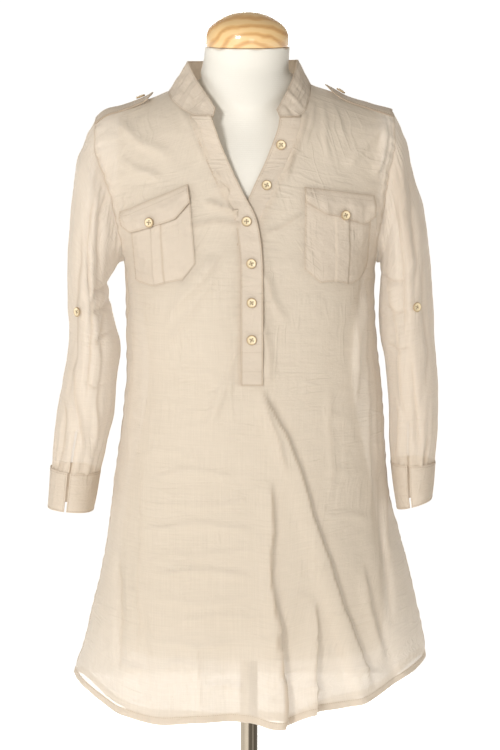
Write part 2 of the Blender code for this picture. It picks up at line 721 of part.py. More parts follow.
def pocket_lift(first, last):
    def lift(u, share):
        return LAYER + (0.0012 if first - 1e-6 <= u <= last + 1e-6 else 0.0)
    return lift


def flap_lift(u, share):
    return LAYER + 0.0036 * min((1.0 - share) * 3.0, 1.0)


def build_pockets():
    for name, table, pleat in (("pocket_l", POCKET_LEFT, (0.34, 0.52)), ("pocket_r", POCKET_RIGHT, (0.48, 0.68))):
        points, offset = patch(table, 8, pocket_lift(*pleat))
        wall(name, points, CLOTH_FINISH, offset=offset)
    for name, table in (("flap_l", FLAP_LEFT), ("flap_r", FLAP_RIGHT)):
        points, offset = patch(table, 4, flap_lift)
        wall(name, points, BAND_FINISH, offset=offset)


def ridge_point(x, y):
    """A point of the cloth near the shoulder ridge, by its place in plan."""
    left, right, front, rear, power = body_row(RIDGE_BODY_Z)
    across = abs(x - (left + right) / 2) / ((right - left) / 2)
    depth = (front if y < 0 else rear) * (1 - across ** power) ** (1 / power)
    share = (1.0 - (abs(y) / depth) ** (1 / FALL_ROOT)) ** (1 / FALL_POWER)
    return np.array([x, y, FALL_Z + (ridge_z(x) - FALL_Z) * share])


def build_epaulette(name, x_seam, x_tip):
    """A strap from the sleeve seam along the shoulder to a blunt point."""
    points = np.zeros((STRAP_ROWS + 1, STRAP_COLUMNS + 1, 3))
    offset = np.zeros((STRAP_ROWS + 1, STRAP_COLUMNS + 1))
    for r in range(STRAP_ROWS + 1):
        for c in range(STRAP_COLUMNS + 1):
            across = c / STRAP_COLUMNS * 2 - 1
            share = r / STRAP_ROWS
            point_in = STRAP_POINT * abs(across) ** 1.5 * share ** 6
            x = x_seam + (x_tip - x_seam) * (share - point_in)
            points[r, c] = ridge_point(x, across * STRAP_HALF)
            offset[r, c] = LAYER + STRAP_FREE_LIFT * max(share - STRAP_FREE_SHARE, 0.0) ** 2
    if x_tip > x_seam:
        points, offset = points[:, ::-1], offset[:, ::-1]
    wall(name, points, BAND_FINISH, offset=offset)
    return points, offset


# The collar's top edge from the left front end round the back to the right one
COLLAR_TOP = (
    (-0.0394, -0.0745, 1.3599), (-0.0500, -0.0560, 1.3750), (-0.0629, -0.0340, 1.3919), (-0.0728, -0.0050, 1.4102),
    (-0.0715, 0.0250, 1.4090), (-0.0560, 0.0530, 1.4075), (-0.0280, 0.0660, 1.4070), (0.0000, 0.0690, 1.4070),
    (0.0280, 0.0660, 1.4080), (0.0500, 0.0500, 1.4090), (0.0580, 0.0230, 1.4110), (0.0575, -0.0050, 1.4124),
    (0.0520, -0.0370, 1.3930), (0.0420, -0.0600, 1.3740), (0.0322, -0.0745, 1.3579),
)


def collar_base():
    """The neckline that the collar stands on, from the left front end round the back."""
    left = [cloth_point(-0.0420, NECK_FRONT_Z)] + [cloth_point(x, z) for x, z in NECK_LEFT[:-1]]
    right = [cloth_point(x, z) for x, z in NECK_RIGHT[:-1]][::-1] + [cloth_point(0.0363, NECK_FRONT_Z)]
    ends = [np.array([NECK_LEFT[-1][0], 0.0, NECK_LEFT[-1][1]]), np.array([NECK_RIGHT[-1][0], 0.0, NECK_RIGHT[-1][1]])]
    back = []
    for x in (-0.0860, -0.0600, -0.0300, 0.0, 0.0280, 0.0520, 0.0680):
        neck = NECK_LEFT[-1] if x < 0 else NECK_RIGHT[-1]
        z = NECK_BACK_Z + (neck[1] - NECK_BACK_Z) * (abs(x) / abs(neck[0])) ** 2
        back.append(cloth_point(x, z, back=True))
    return left + [ends[0]] + back + [ends[1]] + right


def build_collar(count=30, rows=4):
    low = np.array([along(collar_base(), c / count) for c in range(count + 1)])
    high = np.array([along(COLLAR_TOP, c / count) for c in range(count + 1)])
    tangents = np.gradient(low, axis=0)
    tangents /= np.linalg.norm(tangents, axis=1, keepdims=True)
    way = high - low
    way -= tangents * np.sum(way * tangents, axis=1, keepdims=True)
    low += way / np.linalg.norm(way, axis=1, keepdims=True) * (SEAM_GAP + CLOTH * COLLAR_LIFT)
    points = np.array([low + (high - low) * r / rows for r in range(rows + 1)])
    wall("collar", points[:, ::-1], BAND_FINISH)


def button_mesh():
    """A small dished button with a raised rim, lying flat with its underside at zero."""
    work = bmesh.new()
    sides = 12
    profile = ((BUTTON_RADIUS * 0.86, 0.0), (BUTTON_RADIUS, BUTTON_THICK * 0.5),
               (BUTTON_RADIUS * 0.90, BUTTON_THICK), (BUTTON_RADIUS * 0.62, BUTTON_THICK * 0.68))
    rings = []
    for radius, height in profile:
        ring = []
        for step in range(sides):
            angle = 2 * math.pi * step / sides
            ring.append(work.verts.new((radius * math.cos(angle), radius * math.sin(angle), height)))
        rings.append(ring)
    for low, high in zip(rings, rings[1:]):
        for step in range(sides):
            following = (step + 1) % sides
            work.faces.new((low[step], low[following], high[following], high[step]))
    work.faces.new(reversed(rings[0]))
    work.faces.new(rings[-1])
    bmesh.ops.recalc_face_normals(work, faces=work.faces)
    return work


def place_button(name, point, normal, stand_off):
    item = new_object(name, button_mesh(), BUTTON_FINISH)
    normal = normal / np.linalg.norm(normal)
    side = np.cross(np.array([0.0, 0.0, 1.0]), normal)
    side /= np.linalg.norm(side)
    up = np.cross(normal, side)
    place = point + normal * stand_off
    for vert in item.data.vertices:
        vert.co = place + side * vert.co[0] + up * vert.co[1] + normal * vert.co[2]


def surface_normal(x, z):
    step = 0.004
    across = cloth_point(x + step, z) - cloth_point(x - step, z)
    up = cloth_point(x, z + step) - cloth_point(x, z - step)
    return np.cross(across, up)


def build_buttons():
    for name, x, z, layers in BUTTON_SPOTS:
        place_button(name, cloth_point(x, z), surface_normal(x, z), layers * LAYER + CLOTH / 2 + 0.0006)


def ring_solid(name, rings, kind):
    """A closed solid through rings of points, with flat ends."""
    work = bmesh.new()
    made = [[work.verts.new(point) for point in ring] for ring in rings]
    for low, high in zip(made, made[1:]):
        for step in range(len(low)):
            following = (step + 1) % len(low)
            work.faces.new((low[step], low[following], high[following], high[step]))
    work.faces.new(reversed(made[0]))
    work.faces.new(made[-1])
    bmesh.ops.recalc_face_normals(work, faces=work.faces)
    return new_object(name, work, kind)


def turned(name, profile, x_mid, kind, sides=36):
    rings = []
    for radius, z in profile:
        rings.append([(x_mid + radius * math.cos(2 * math.pi * s / sides),
                       radius * math.sin(2 * math.pi * s / sides), z) for s in range(sides)])
    return ring_solid(name, rings, kind)


def form_ring(z, half, front, back, mid, count):
    ring = []
    for step in range(count):
        angle = 2 * math.pi * step / count
        across = math.copysign(abs(math.cos(angle)) ** (2 / FORM_POWER), math.cos(angle))
        depth = math.copysign(abs(math.sin(angle)) ** (2 / FORM_POWER), math.sin(angle))
        ring.append(np.array([mid + half * across, depth * (back if depth > 0 else front), z]))
    return ring


def shoulder_ring(level, count):
    """A ring of the form above the chest, which closes on the shoulder ridges and leaves the neck round."""
    ring = []
    half = FORM[-1][1] + (FORM_SHOULDER_HALF - FORM[-1][1]) * math.sin(min(level * 1.6, 1.0) * math.pi / 2)
    for step in range(count):
        angle = 2 * math.pi * step / count
        behind = angle < math.pi
        turn = 1 - 2 * angle / math.pi if behind else 2 * angle / math.pi - 3
        low_x = half * math.copysign(abs(math.cos(angle)) ** (2 / FORM_POWER), math.cos(angle))
        if abs(turn) <= 0.5:
            top_x = FORM_NECK_HALF * math.sin(turn * math.pi)
        else:
            top_x = math.copysign(FORM_NECK_HALF + (half - FORM_NECK_HALF) * (abs(turn) - 0.5) * 2, turn)
        x = low_x + (top_x - low_x) * level ** 1.5
        end = max(abs(x) / half - 0.85, 0.0) / 0.15
        top = ridge_z(max(abs(x), FORM_NECK_HALF)) - FORM_SHOULDER_DROP - 0.010 * end ** 2
        inside = max(1 - (x / FORM_NECK_HALF) ** 2, 0.0)
        top -= 0.0 if behind else FORM_NECK_DIP * inside
        z = FORM[-1][0] + (top - FORM[-1][0]) * level
        chest = FORM[-1][3] if behind else FORM[-1][2]
        round_off = max(1 - min(abs(x) / half, 1.0) ** FORM_POWER, 0.0) ** (1 / FORM_POWER)
        body = round_off * chest * max(1 - level ** 2, 0.0) ** FORM_SHOULDER_ROOT
        neck = (FORM_NECK_BACK if behind else FORM_NECK_FRONT) * inside ** 0.5 * level
        depth = (body ** 3 + neck ** 3) ** (1 / 3)
        ring.append(np.array([x, depth if behind else -depth, z]))
    return ring


def build_form(count=48, shoulder_rows=9):
    """The torso: rings up to the chest, curved rows that close on the shoulder ridges, and the neck."""
    work = bmesh.new()
    heights = (0.705, 0.709, 0.75, 0.80, 0.85, 0.90, 0.95, 1.00, 1.05, 1.10, 1.15, 1.20)
    rings = [form_ring(z, *(smooth(FORM, column, z) for column in range(1, 5)), count) for z in heights]
    rings += [shoulder_ring(1 - (1 - row / shoulder_rows) ** 1.5, count) for row in range(1, shoulder_rows + 1)]
    made = [[work.verts.new(point) for point in ring] for ring in rings]
    for low, high in zip(made, made[1:]):
        for step in range(count):
            following = (step + 1) % count
            work.faces.new((low[step], low[following], high[following], high[step]))
    work.faces.new(reversed(made[0]))
    behind = [step for step in range(count) if rings[-1][step][1] > 1e-4]
    before = [step for step in range(count) if rings[-1][step][1] < -1e-4]
    neck_ring = [behind[0] - 1] + behind + [behind[-1] + 1] + before
    chain = [made[-1][step] for step in neck_ring]
    angles = [math.atan2(vert.co[1], vert.co[0]) for vert in chain]
    previous = chain
    for z, half, depth, mid in NECK_TOP:
        ring = [work.verts.new((mid + half * math.cos(a), depth * math.sin(a), z)) for a in angles]
        for step in range(len(ring)):
            following = (step + 1) % len(ring)
            work.faces.new((previous[step], previous[following], ring[following], ring[step]))
        previous = ring
    work.faces.new(previous)
    bmesh.ops.remove_doubles(work, verts=work.verts, dist=0.0004)
    bmesh.ops.recalc_face_normals(work, faces=work.faces)
    new_object("form_torso", work, COVER_FINISH)


def build_stand():
    turned("neck_cap", CAP_PROFILE, CAP_X, WOOD_FINISH)
    pole_rows = ((POLE_RADIUS, BASE_TOP + FLOOR_CLEAR), (POLE_RADIUS, 0.705 - FLOOR_CLEAR))
    turned("pole", pole_rows, 0.0, CHROME_FINISH, sides=24)
    turned("stand_base", BASE_PROFILE, 0.0, STAND_FINISH)


def sleeve_buttons():
    """The tab button on the image-left sleeve, and its twin on the other."""
    for name, table, side in (("button_tab_l", SLEEVE_LEFT, -1), ("button_tab_r", SLEEVE_RIGHT, 1)):
        row = table[4]
        angle = math.pi * (0.66 if side < 0 else 0.60)
        share = (1 + math.cos(angle)) / 2
        point = np.array([row[0] + (row[2] - row[0]) * share, row[5] - row[4] * math.sin(angle),
                          row[1] + (row[3] - row[1]) * share])
        half_width = abs(row[2] - row[0]) / 2
        normal = np.array([side * -math.cos(angle) / half_width, -math.sin(angle) / row[4], 0.0])
        place_button(name, point, normal, CLOTH / 2 + 0.0004)


def strap_buttons(straps):
    for name, (points, offset) in straps.items():
        placed = points + normals_of(points) * offset[:, :, None]
        place_button(name, placed[7, 3], normals_of(placed)[7, 3], CLOTH / 2 + 0.0008)


def main():
    clear_scene()
    front = build_front()
    back = build_back()
    build_sleeve("sleeve_l", sleeve_loop(front, back, 0, -1), SLEEVE_LEFT, -1, SLIT_SHARE_LEFT)
    build_sleeve("sleeve_r", sleeve_loop(front, back, -1, 0), SLEEVE_RIGHT, 1, SLIT_SHARE_RIGHT)
    build_cuff("cuff_l", CUFF_LEFT, -1, SLIT_SHARE_LEFT)
    build_cuff("cuff_r", CUFF_RIGHT, 1, SLIT_SHARE_RIGHT)
    build_bands()
    build_pockets()
    build_collar()
    straps = {
        "button_strap_l": build_epaulette("epaulette_l", -0.1815, -0.1120),
        "button_strap_r": build_epaulette("epaulette_r", 0.1700, 0.0890),
    }
    build_buttons()
    sleeve_buttons()
    strap_buttons(straps)
    build_form()
    build_stand()


main()
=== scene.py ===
"""Popover tunic blouse of beige voile on a limbless dress form, dressed for its pictures.

Every size is in metres. The front faces -Y, +X is the viewer's right and +Z is up. The cloth follows
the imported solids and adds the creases, hems, stitches and buttons that they leave out.
"""

from __future__ import annotations

import logging
import math
from dataclasses import dataclass, field, replace
from enum import Enum
from typing import Callable, Optional, Sequence, Union

import bmesh
import bpy
import numpy as np
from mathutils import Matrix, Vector, noise


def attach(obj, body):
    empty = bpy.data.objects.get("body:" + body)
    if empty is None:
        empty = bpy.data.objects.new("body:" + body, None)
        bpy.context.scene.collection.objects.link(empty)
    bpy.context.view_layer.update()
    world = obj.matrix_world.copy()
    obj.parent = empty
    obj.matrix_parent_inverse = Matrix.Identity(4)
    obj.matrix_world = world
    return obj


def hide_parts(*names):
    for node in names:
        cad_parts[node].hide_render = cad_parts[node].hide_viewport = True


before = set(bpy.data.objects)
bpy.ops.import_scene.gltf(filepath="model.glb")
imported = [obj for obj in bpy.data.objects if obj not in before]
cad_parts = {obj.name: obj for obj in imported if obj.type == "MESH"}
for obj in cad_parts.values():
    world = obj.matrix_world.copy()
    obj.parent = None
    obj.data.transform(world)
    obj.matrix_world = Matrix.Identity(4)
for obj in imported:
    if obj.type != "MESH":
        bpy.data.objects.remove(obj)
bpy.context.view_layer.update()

LOG = logging.getLogger("blouse")
Array = np.ndarray
Station = tuple[float, float]
Colour = tuple[float, float, float]
Table = Sequence[Sequence[float]]
Material = bpy.types.Material
Mesh = bpy.types.Mesh
Piece = bpy.types.Object


# Shader maths


class Term:
    """One value in a node tree, with the arithmetic that Math nodes do."""

    def __init__(self, tree: bpy.types.NodeTree, socket: bpy.types.NodeSocket) -> None:
        """Keep the tree and the output socket that carries the value."""
        self.tree = tree
        self.socket = socket

    def _math(self, operation: str, *others: Value) -> Term:
        """Add a Math node.

        Args:
            operation: the Math node's operation.
            others: the values of its inputs.

        Returns:
            The node's result.
        """
        node = self.tree.nodes.new("ShaderNodeMath")
        node.operation = operation
        for place, value in enumerate(others):
            if isinstance(value, Term):
                self.tree.links.new(value.socket, node.inputs[place])
            else:
                node.inputs[place].default_value = float(value)
        return Term(self.tree, node.outputs[0])

    def __add__(self, other: Value) -> Term:
        """Sum of two values."""
        return self._math("ADD", self, other)

    def __sub__(self, other: Value) -> Term:
        """Difference of two values."""
        return self._math("SUBTRACT", self, other)

    def __rsub__(self, other: Value) -> Term:
        """Difference of two values, the other way round."""
        return self._math("SUBTRACT", other, self)

    def __mul__(self, other: Value) -> Term:
        """Product of two values."""
        return self._math("MULTIPLY", self, other)

    def __truediv__(self, other: Value) -> Term:
        """Quotient of two values."""
        return self._math("DIVIDE", self, other)

    def __pow__(self, other: Value) -> Term:
        """One value raised to the other."""
        return self._math("POWER", self, other)

    __radd__ = __add__
    __rmul__ = __mul__

    def sine(self) -> Term:
        """The sine of the value."""
        return self._math("SINE", self)

    def band(self, low: float, high: float) -> Term:
        """A smooth rise from 0 at one value to 1 at another.

        Args:
            low: where the rise starts.
            high: where it ends.

        Returns:
            The rise, from 0 to 1.
        """
        node = self.tree.nodes.new("ShaderNodeMapRange")
        node.interpolation_type = "SMOOTHSTEP"
        self.tree.links.new(self.socket, node.inputs["Value"])
        node.inputs["From Min"].default_value = low
        node.inputs["From Max"].default_value = high
        return Term(self.tree, node.outputs["Result"])


Value = Union[Term, float]
Paintable = Union[Term, Colour]


class Paint:
    """A material that is put together node by node."""

    def __init__(self, name: str) -> None:
        """Make an empty material.

        Args:
            name: the material's name.
        """
        self.material = bpy.data.materials.new(name)
        self.material.use_nodes = True
        self.tree = self.material.node_tree
        self.tree.nodes.clear()

    def node(self, kind: str, inputs: Optional[dict] = None, output: Union[str, int] = 0, **settings: str) -> Term:
        """Add one node.

        Args:
            kind: the node's type.
            inputs: values or links of its sockets, by name or place.
            output: the output to read, by name or place.
            settings: properties to set before its sockets.

        Returns:
            That output.
        """
        node = self.tree.nodes.new(kind)
        for name, value in settings.items():
            setattr(node, name, value)
        for name, value in (inputs or {}).items():
            if isinstance(value, Term):
                self.tree.links.new(value.socket, node.inputs[name])
            else:
                node.inputs[name].default_value = value
        return Term(self.tree, node.outputs[output])

    def place(self) -> Term:
        """The place on the object."""
        return self.node("ShaderNodeTexCoord", output="Object")

    def axis(self, where: Term, number: int) -> Term:
        """One coordinate of a place."""
        return self.node("ShaderNodeSeparateXYZ", {"Vector": where}, number)

    def stretched(self, where: Term, scale: Colour, shift: Colour = (0.0, 0.0, 0.0)) -> Term:
        """Coordinates scaled differently along each axis, and then shifted."""
        return self.node("ShaderNodeMapping", {"Vector": where, "Scale": scale, "Location": shift})

    def noise(self, where: Term, scale: float, detail: float = 2.0, roughness: float = 0.5) -> Term:
        """Soft noise between 0 and 1.

        Args:
            where: the coordinates to read it at.
            scale: how many swings there are to a unit.
            detail: how many finer layers it has.
            roughness: how strong the finer layers are.

        Returns:
            The noise.
        """
        inputs = {"Vector": where, "Scale": scale, "Detail": detail, "Roughness": roughness}
        return self.node("ShaderNodeTexNoise", inputs)

    def blend(self, factor: Value, low: Paintable, high: Paintable) -> Term:
        """A mix of two colours.

        Args:
            factor: the share of the second colour.
            low: the first colour.
            high: the second colour.

        Returns:
            The mixed colour.
        """
        first, second = (side if isinstance(side, Term) else (*side, 1.0) for side in (low, high))
        return self.node("ShaderNodeMix", {0: factor, 6: first, 7: second}, 2, data_type="RGBA")

    def ramp(self, factor: Term, stops: Sequence[tuple[float, Colour]]) -> Term:
        """A colour from a ramp.

        Args:
            factor: where the ramp is read.
            stops: positions and colours, from low to high.

        Returns:
            The colour.
        """
        node = self.tree.nodes.new("ShaderNodeValToRGB")
        elements = node.color_ramp.elements
        while len(elements) < len(stops):
            elements.new(0.5)
        for element, (place, colour) in zip(elements, stops):
            element.position = place
            element.color = (*colour, 1.0)
        self.tree.links.new(factor.socket, node.inputs["Fac"])
        return Term(self.tree, node.outputs[0])

    def bump(self, height: Term, distance: float, strength: float = 1.0, under: Optional[Term] = None) -> Term:
        """A normal that is tilted by a height.

        Args:
            height: the height, from 0 to 1.
            distance: how many metres a height of 1 stands for.
            strength: how much of it shows.
            under: a normal to start from.

        Returns:
            The tilted normal.
        """
        inputs = {"Height": height, "Distance": distance, "Strength": strength}
        if under is not None:
            inputs["Normal"] = under
        return self.node("ShaderNodeBump", inputs)

    def mixed(self, share: Value, first: Term, second: Term) -> Term:
        """A mix of two shaders."""
        return self.node("ShaderNodeMixShader", {0: share, 1: first, 2: second})

    def coat(self, name: str, inputs: dict) -> Term:
        """A Principled shader with a label."""
        return self.node("ShaderNodeBsdfPrincipled", inputs, label=name)

    def finish(self, surface: Term) -> Material:
        """Put a shader on the material's output.

        Args:
            surface: the shader.

        Returns:
            The finished material.
        """
        result = self.tree.nodes.new("ShaderNodeOutputMaterial")
        self.tree.links.new(surface.socket, result.inputs["Surface"])
        return self.material


# Finishes


@dataclass(frozen=True)
class Voile:
    """Thin plain-weave cotton with uneven yarns, which lets some light through."""

    name: str
    light: Colour
    dark: Colour
    glow: Colour
    glow_share: float
    open_share: float
    # Colour that marked folds and edges darken towards: partly cloth lying double, partly painted shade.
    double_and_shade: Colour = (0.40, 0.28, 0.17)
    yarns_per_metre: float = 2400.0
    slubs_across: float = 900.0
    slubs_along: float = 22.0
    crumple: float = 0.0084
    wrinkle: float = 0.0012

    @staticmethod
    def wrinkles(paint: Paint, cut: Term, scale: Colour, seed: float) -> Term:
        """Thin pressed-in lines that come and go over the cloth.

        Args:
            paint: the material.
            cut: the place on the flat cut.
            scale: how closely they lie along each axis.
            seed: which of many patterns to use.

        Returns:
            Their height, from 0 to 1.
        """
        swing = paint.noise(paint.stretched(cut, scale, (seed, seed, 0.0)), 1.0, 1.0, 0.35)
        where = paint.noise(cut, 11.0 + seed, 2.0)
        return swing.band(0.430, 0.50) * (1.0 - swing.band(0.50, 0.58)) * where.band(0.47, 0.62)

    def normal(self, paint: Paint, cut: Term, slubs: Term) -> Term:
        """The cloth's relief: its weave and yarns over crumples and wrinkles.

        Args:
            paint: the material.
            cut: the place on the flat cut.
            slubs: how thick the yarns are.

        Returns:
            The tilted normal.
        """
        turns = self.yarns_per_metre * math.pi
        weave = (paint.axis(cut, 0) * turns).sine() * (paint.axis(cut, 1) * turns).sine() * 0.5 + 0.5
        crumpled = paint.noise(paint.stretched(cut, (46.0, 74.0, 1.0)), 1.0, 4.0, 0.58)
        level = self.wrinkles(paint, cut, (13.0, 85.0, 1.0), 3.1)
        upright = self.wrinkles(paint, cut, (70.0, 9.0, 1.0), 7.7)
        pressed = paint.bump(level + upright, self.wrinkle, 0.40)
        dented = paint.bump(crumpled, self.crumple, 0.22, pressed)
        return paint.bump(weave * 0.5 + slubs * 0.6, 0.00012, 0.4, dented)

    def material(self) -> Material:
        """Make the cloth's material.

        Returns:
            The material.
        """
        paint = Paint(self.name)
        cut = paint.node("ShaderNodeUVMap", uv_map="cut")
        warp = paint.noise(paint.stretched(cut, (self.slubs_across, self.slubs_along, 1.0)), 1.0, 2.0)
        weft = paint.noise(paint.stretched(cut, (self.slubs_along, self.slubs_across, 1.0)), 1.0, 2.0)
        slubs = (warp + weft) * 0.5
        cloudy = paint.noise(cut, 9.0, 3.0, 0.55)
        colour = paint.blend(slubs.band(0.30, 0.70) * 0.30 + cloudy * 0.45 + 0.12, self.dark, self.light)
        # Painted shade: where the mesh is marked, the cloth turns darker and lets less light through. Part of this
        # is cloth lying double at folds and edges.
        double_and_shade = paint.node("ShaderNodeAttribute", output="Fac", attribute_name="fold_shade_mark")
        colour = paint.blend(double_and_shade * 0.8, colour, self.double_and_shade)
        normal = self.normal(paint, cut, slubs)
        solid = paint.coat(self.name, {
            "Base Color": colour, "Roughness": 0.86, "Normal": normal,
            "Specular IOR Level": 0.22, "Sheen Weight": 0.18, "Sheen Roughness": 0.5,
        })
        through = paint.node("ShaderNodeBsdfTranslucent", {"Color": (*self.glow, 1.0), "Normal": normal})
        body = paint.mixed((1.0 - double_and_shade * 0.7) * self.glow_share, solid, through)
        gaps = paint.node("ShaderNodeBsdfTransparent", {"Color": (1.0, 1.0, 0.995, 1.0)})
        open_share = (1.0 - slubs.band(0.3, 0.7)) * (self.open_share * 0.3) + self.open_share * 0.85
        return paint.finish(paint.mixed(open_share, body, gaps))


@dataclass(frozen=True)
class Jersey:
    """Fine knitted cover of the form."""

    name: str = "form_jersey"
    light: Colour = (0.800, 0.770, 0.700)
    dark: Colour = (0.765, 0.730, 0.655)
    ribs_per_metre: float = 900.0

    def material(self) -> Material:
        """Make the cover's material.

        Returns:
            The material.
        """
        paint = Paint(self.name)
        where = paint.place()
        fluff = paint.noise(where, 700.0, 2.0)
        colour = paint.blend(paint.noise(where, 14.0, 3.0) * 0.6 + fluff * 0.4, self.dark, self.light)
        ribs = (paint.axis(where, 2) * (self.ribs_per_metre * math.pi)).sine() * 0.5 + 0.5
        return paint.finish(paint.coat(self.name, {
            "Base Color": colour, "Roughness": 0.9, "Normal": paint.bump(ribs * 0.5 + fluff, 0.00022, 0.5),
            "Specular IOR Level": 0.2, "Sheen Weight": 0.25, "Sheen Roughness": 0.4,
        }))


@dataclass(frozen=True)
class VarnishedWood:
    """Turned pale wood under varnish, with its rings cut across the grain."""

    name: str = "varnished_wood_grain"
    pale: Colour = (0.82, 0.56, 0.27)
    middle: Colour = (0.72, 0.43, 0.17)
    ring: Colour = (0.56, 0.30, 0.115)
    knot: Colour = (0.20, 0.085, 0.03)
    rings_per_metre: float = 74.0
    ring_scale: Colour = (1.0, 0.45, 1.5)
    ring_shift: Colour = (-0.004, 0.012, -2.1293)
    ring_bend: float = 0.020
    knot_at: Colour = (-0.0285, -0.040, 1.457)

    def material(self) -> Material:
        """Make the wood's material.

        Returns:
            The material.
        """
        paint = Paint(self.name)
        where = paint.place()
        centred = paint.stretched(where, self.ring_scale, self.ring_shift)
        bent = paint.noise(where, 22.0, 2.0)
        distance = paint.node("ShaderNodeVectorMath", {0: centred}, "Value", operation="LENGTH")
        turns = self.rings_per_metre * 2 * math.pi
        growth = ((distance + bent * self.ring_bend) * turns).sine() * 0.5 + 0.5
        fibres = paint.noise(paint.stretched(where, (60.0, 220.0, 700.0)), 1.0, 3.0)
        from_knot = paint.node("ShaderNodeVectorMath", {0: where, 1: self.knot_at}, "Value", operation="DISTANCE")
        colour = paint.ramp(growth * 0.62 + fibres * 0.38, (
            (0.10, self.ring), (0.34, self.middle), (0.62, self.pale), (0.95, self.pale),
        ))
        colour = paint.blend((1.0 - from_knot.band(0.0015, 0.0055)) * 0.85, colour, self.knot)
        return paint.finish(paint.coat(self.name, {
            "Base Color": colour, "Roughness": 0.36, "Normal": paint.bump(fibres, 0.00012, 0.3),
            "Coat Weight": 0.8, "Coat Roughness": 0.10, "Specular IOR Level": 0.45,
        }))


@dataclass(frozen=True)
class Metal:
    """Chromed tube or painted plate, with faint wear and, on a tube, painted reflections as dark streaks along it.
    """

    name: str
    colour: Colour
    metallic: float
    roughness: float
    reflection_streak: float = 0.0
    reflected_dark: Colour = (0.055, 0.045, 0.032)
    wear: float = 0.82

    def material(self) -> Material:
        """Make the metal's material.

        Returns:
            The material.
        """
        paint = Paint(self.name)
        where = paint.place()
        smudges = paint.noise(paint.stretched(where, (30.0, 30.0, 9.0)), 1.0, 4.0, 0.6)
        grit = paint.noise(where, 900.0, 1.0)
        colour = paint.blend(smudges * 0.5, self.colour, tuple(channel * self.wear for channel in self.colour))
        # Painted reflection: dark bands along the tube for the surroundings that chrome would mirror.
        if self.reflection_streak:
            reflected_bands = paint.noise(paint.stretched(where, (150.0, 150.0, 0.6)), 1.0, 1.0)
            colour = paint.blend(reflected_bands.band(0.40, 0.58) * self.reflection_streak, colour, self.reflected_dark)
        rough = smudges * (self.roughness * 0.6) + self.roughness * 0.7
        return paint.finish(paint.coat(self.name, {
            "Base Color": colour, "Roughness": rough, "Metallic": self.metallic,
            "Normal": paint.bump(grit, 0.00003, 0.25),
        }))


@dataclass(frozen=True)
class Shell:
    """Pale button with clouded layers and a browned rim."""

    name: str = "shell_button"
    middle: Colour = (0.80, 0.67, 0.44)
    rim: Colour = (0.27, 0.145, 0.05)

    def material(self) -> Material:
        """Make the button's material.

        Returns:
            The material.
        """
        paint = Paint(self.name)
        radius = paint.axis(paint.node("ShaderNodeUVMap", uv_map="turn"), 0)
        clouds = paint.noise(paint.place(), 420.0, 3.0)
        browned = radius.band(0.70, 0.90) * (clouds * 0.4 + 0.50)
        # Painted shade in the dished middle round the holes.
        well_shade = 1.0 - radius.band(0.10, 0.42)
        colour = paint.blend(browned + well_shade * 0.12, self.middle, self.rim)
        return paint.finish(paint.coat(self.name, {
            "Base Color": colour, "Roughness": 0.34, "Coat Weight": 0.25, "Coat Roughness": 0.2,
            "Normal": paint.bump(clouds, 0.00005, 0.3),
        }))


@dataclass(frozen=True)
class Thread:
    """Twisted sewing thread."""

    name: str
    colour: Colour
    shade: float = 0.7

    def material(self) -> Material:
        """Make the thread's material.

        Returns:
            The material.
        """
        paint = Paint(self.name)
        twist = paint.noise(paint.place(), 1600.0, 1.0)
        colour = paint.blend(twist, tuple(channel * self.shade for channel in self.colour), self.colour)
        return paint.finish(paint.coat(self.name, {
            "Base Color": colour, "Roughness": 0.75,
            "Normal": paint.bump(twist, 0.00008, 0.4), "Sheen Weight": 0.2,
        }))


class Finishes:
    """Every finish of the object, made once."""

    def __init__(self) -> None:
        """Make the materials."""
        self.voile = Voile(
            "voile_plain", (0.775, 0.668, 0.546), (0.722, 0.611, 0.484), (0.950, 0.945, 0.935), 0.30, 0.17,
        ).material()
        self.double = Voile(
            "voile_doubled", (0.770, 0.677, 0.568), (0.716, 0.618, 0.506), (0.88, 0.82, 0.74), 0.26, 0.06,
        ).material()
        self.cover = Jersey().material()
        self.wood = VarnishedWood().material()
        # The chrome's brown-grey tint and its streaks are painted reflections of the warm surroundings.
        self.chrome = Metal("chromed_tube", (0.40, 0.345, 0.27), 1.0, 0.16, 0.92).material()
        self.stand = Metal("stand_enamel", (0.26, 0.26, 0.27), 0.0, 0.38).material()
        self.shell = Shell().material()
        self.thread = Thread("sewing_thread", (0.50, 0.385, 0.265)).material()
        self.button_thread = Thread("button_thread", (0.24, 0.165, 0.095)).material()


# Cloth nets


class Curve:
    """A smooth line through the rows of a table, read at values of its first column."""

    def __init__(self, table: Table, column: int) -> None:
        """Keep one column of the table and its slopes.

        Args:
            table: rows in order of their first column.
            column: the column to read.
        """
        rows = sorted(table, key=lambda row: row[0])
        self.keys = np.array([row[0] for row in rows])
        self.values = np.array([row[column] for row in rows])
        before = np.maximum(np.arange(len(rows)) - 1, 0)
        after = np.minimum(np.arange(len(rows)) + 1, len(rows) - 1)
        self.slopes = (self.values[after] - self.values[before]) / (self.keys[after] - self.keys[before])

    def __call__(self, at: Array) -> Array:
        """Read the curve.

        Args:
            at: values of the first column.

        Returns:
            The smooth values of the kept column.
        """
        at = np.clip(np.asarray(at, dtype=float), self.keys[0], self.keys[-1])
        place = np.clip(np.searchsorted(self.keys, at, side="right") - 1, 0, len(self.keys) - 2)
        span = self.keys[place + 1] - self.keys[place]
        t = (at - self.keys[place]) / span
        low, rise = self.values[place], self.values[place + 1] - self.values[place]
        start, end = self.slopes[place] * span, self.slopes[place + 1] * span
        return low + t * start + t * t * (3 * rise - 2 * start - end) + t ** 3 * (start + end - 2 * rise)


def along(points: Table, share: Array) -> Array:
    """Points at shares of the length of a line.

    Args:
        points: the line's stations.
        share: shares from 0 to 1.

    Returns:
        One point a share.
    """
    line = np.array(points)
    steps = np.concatenate([[0.0], np.cumsum(np.linalg.norm(np.diff(line, axis=0), axis=1))])
    at = np.atleast_1d(share) * steps[-1]
    return np.stack([np.interp(at, steps, line[:, axis]) for axis in range(line.shape[1])], axis=-1)


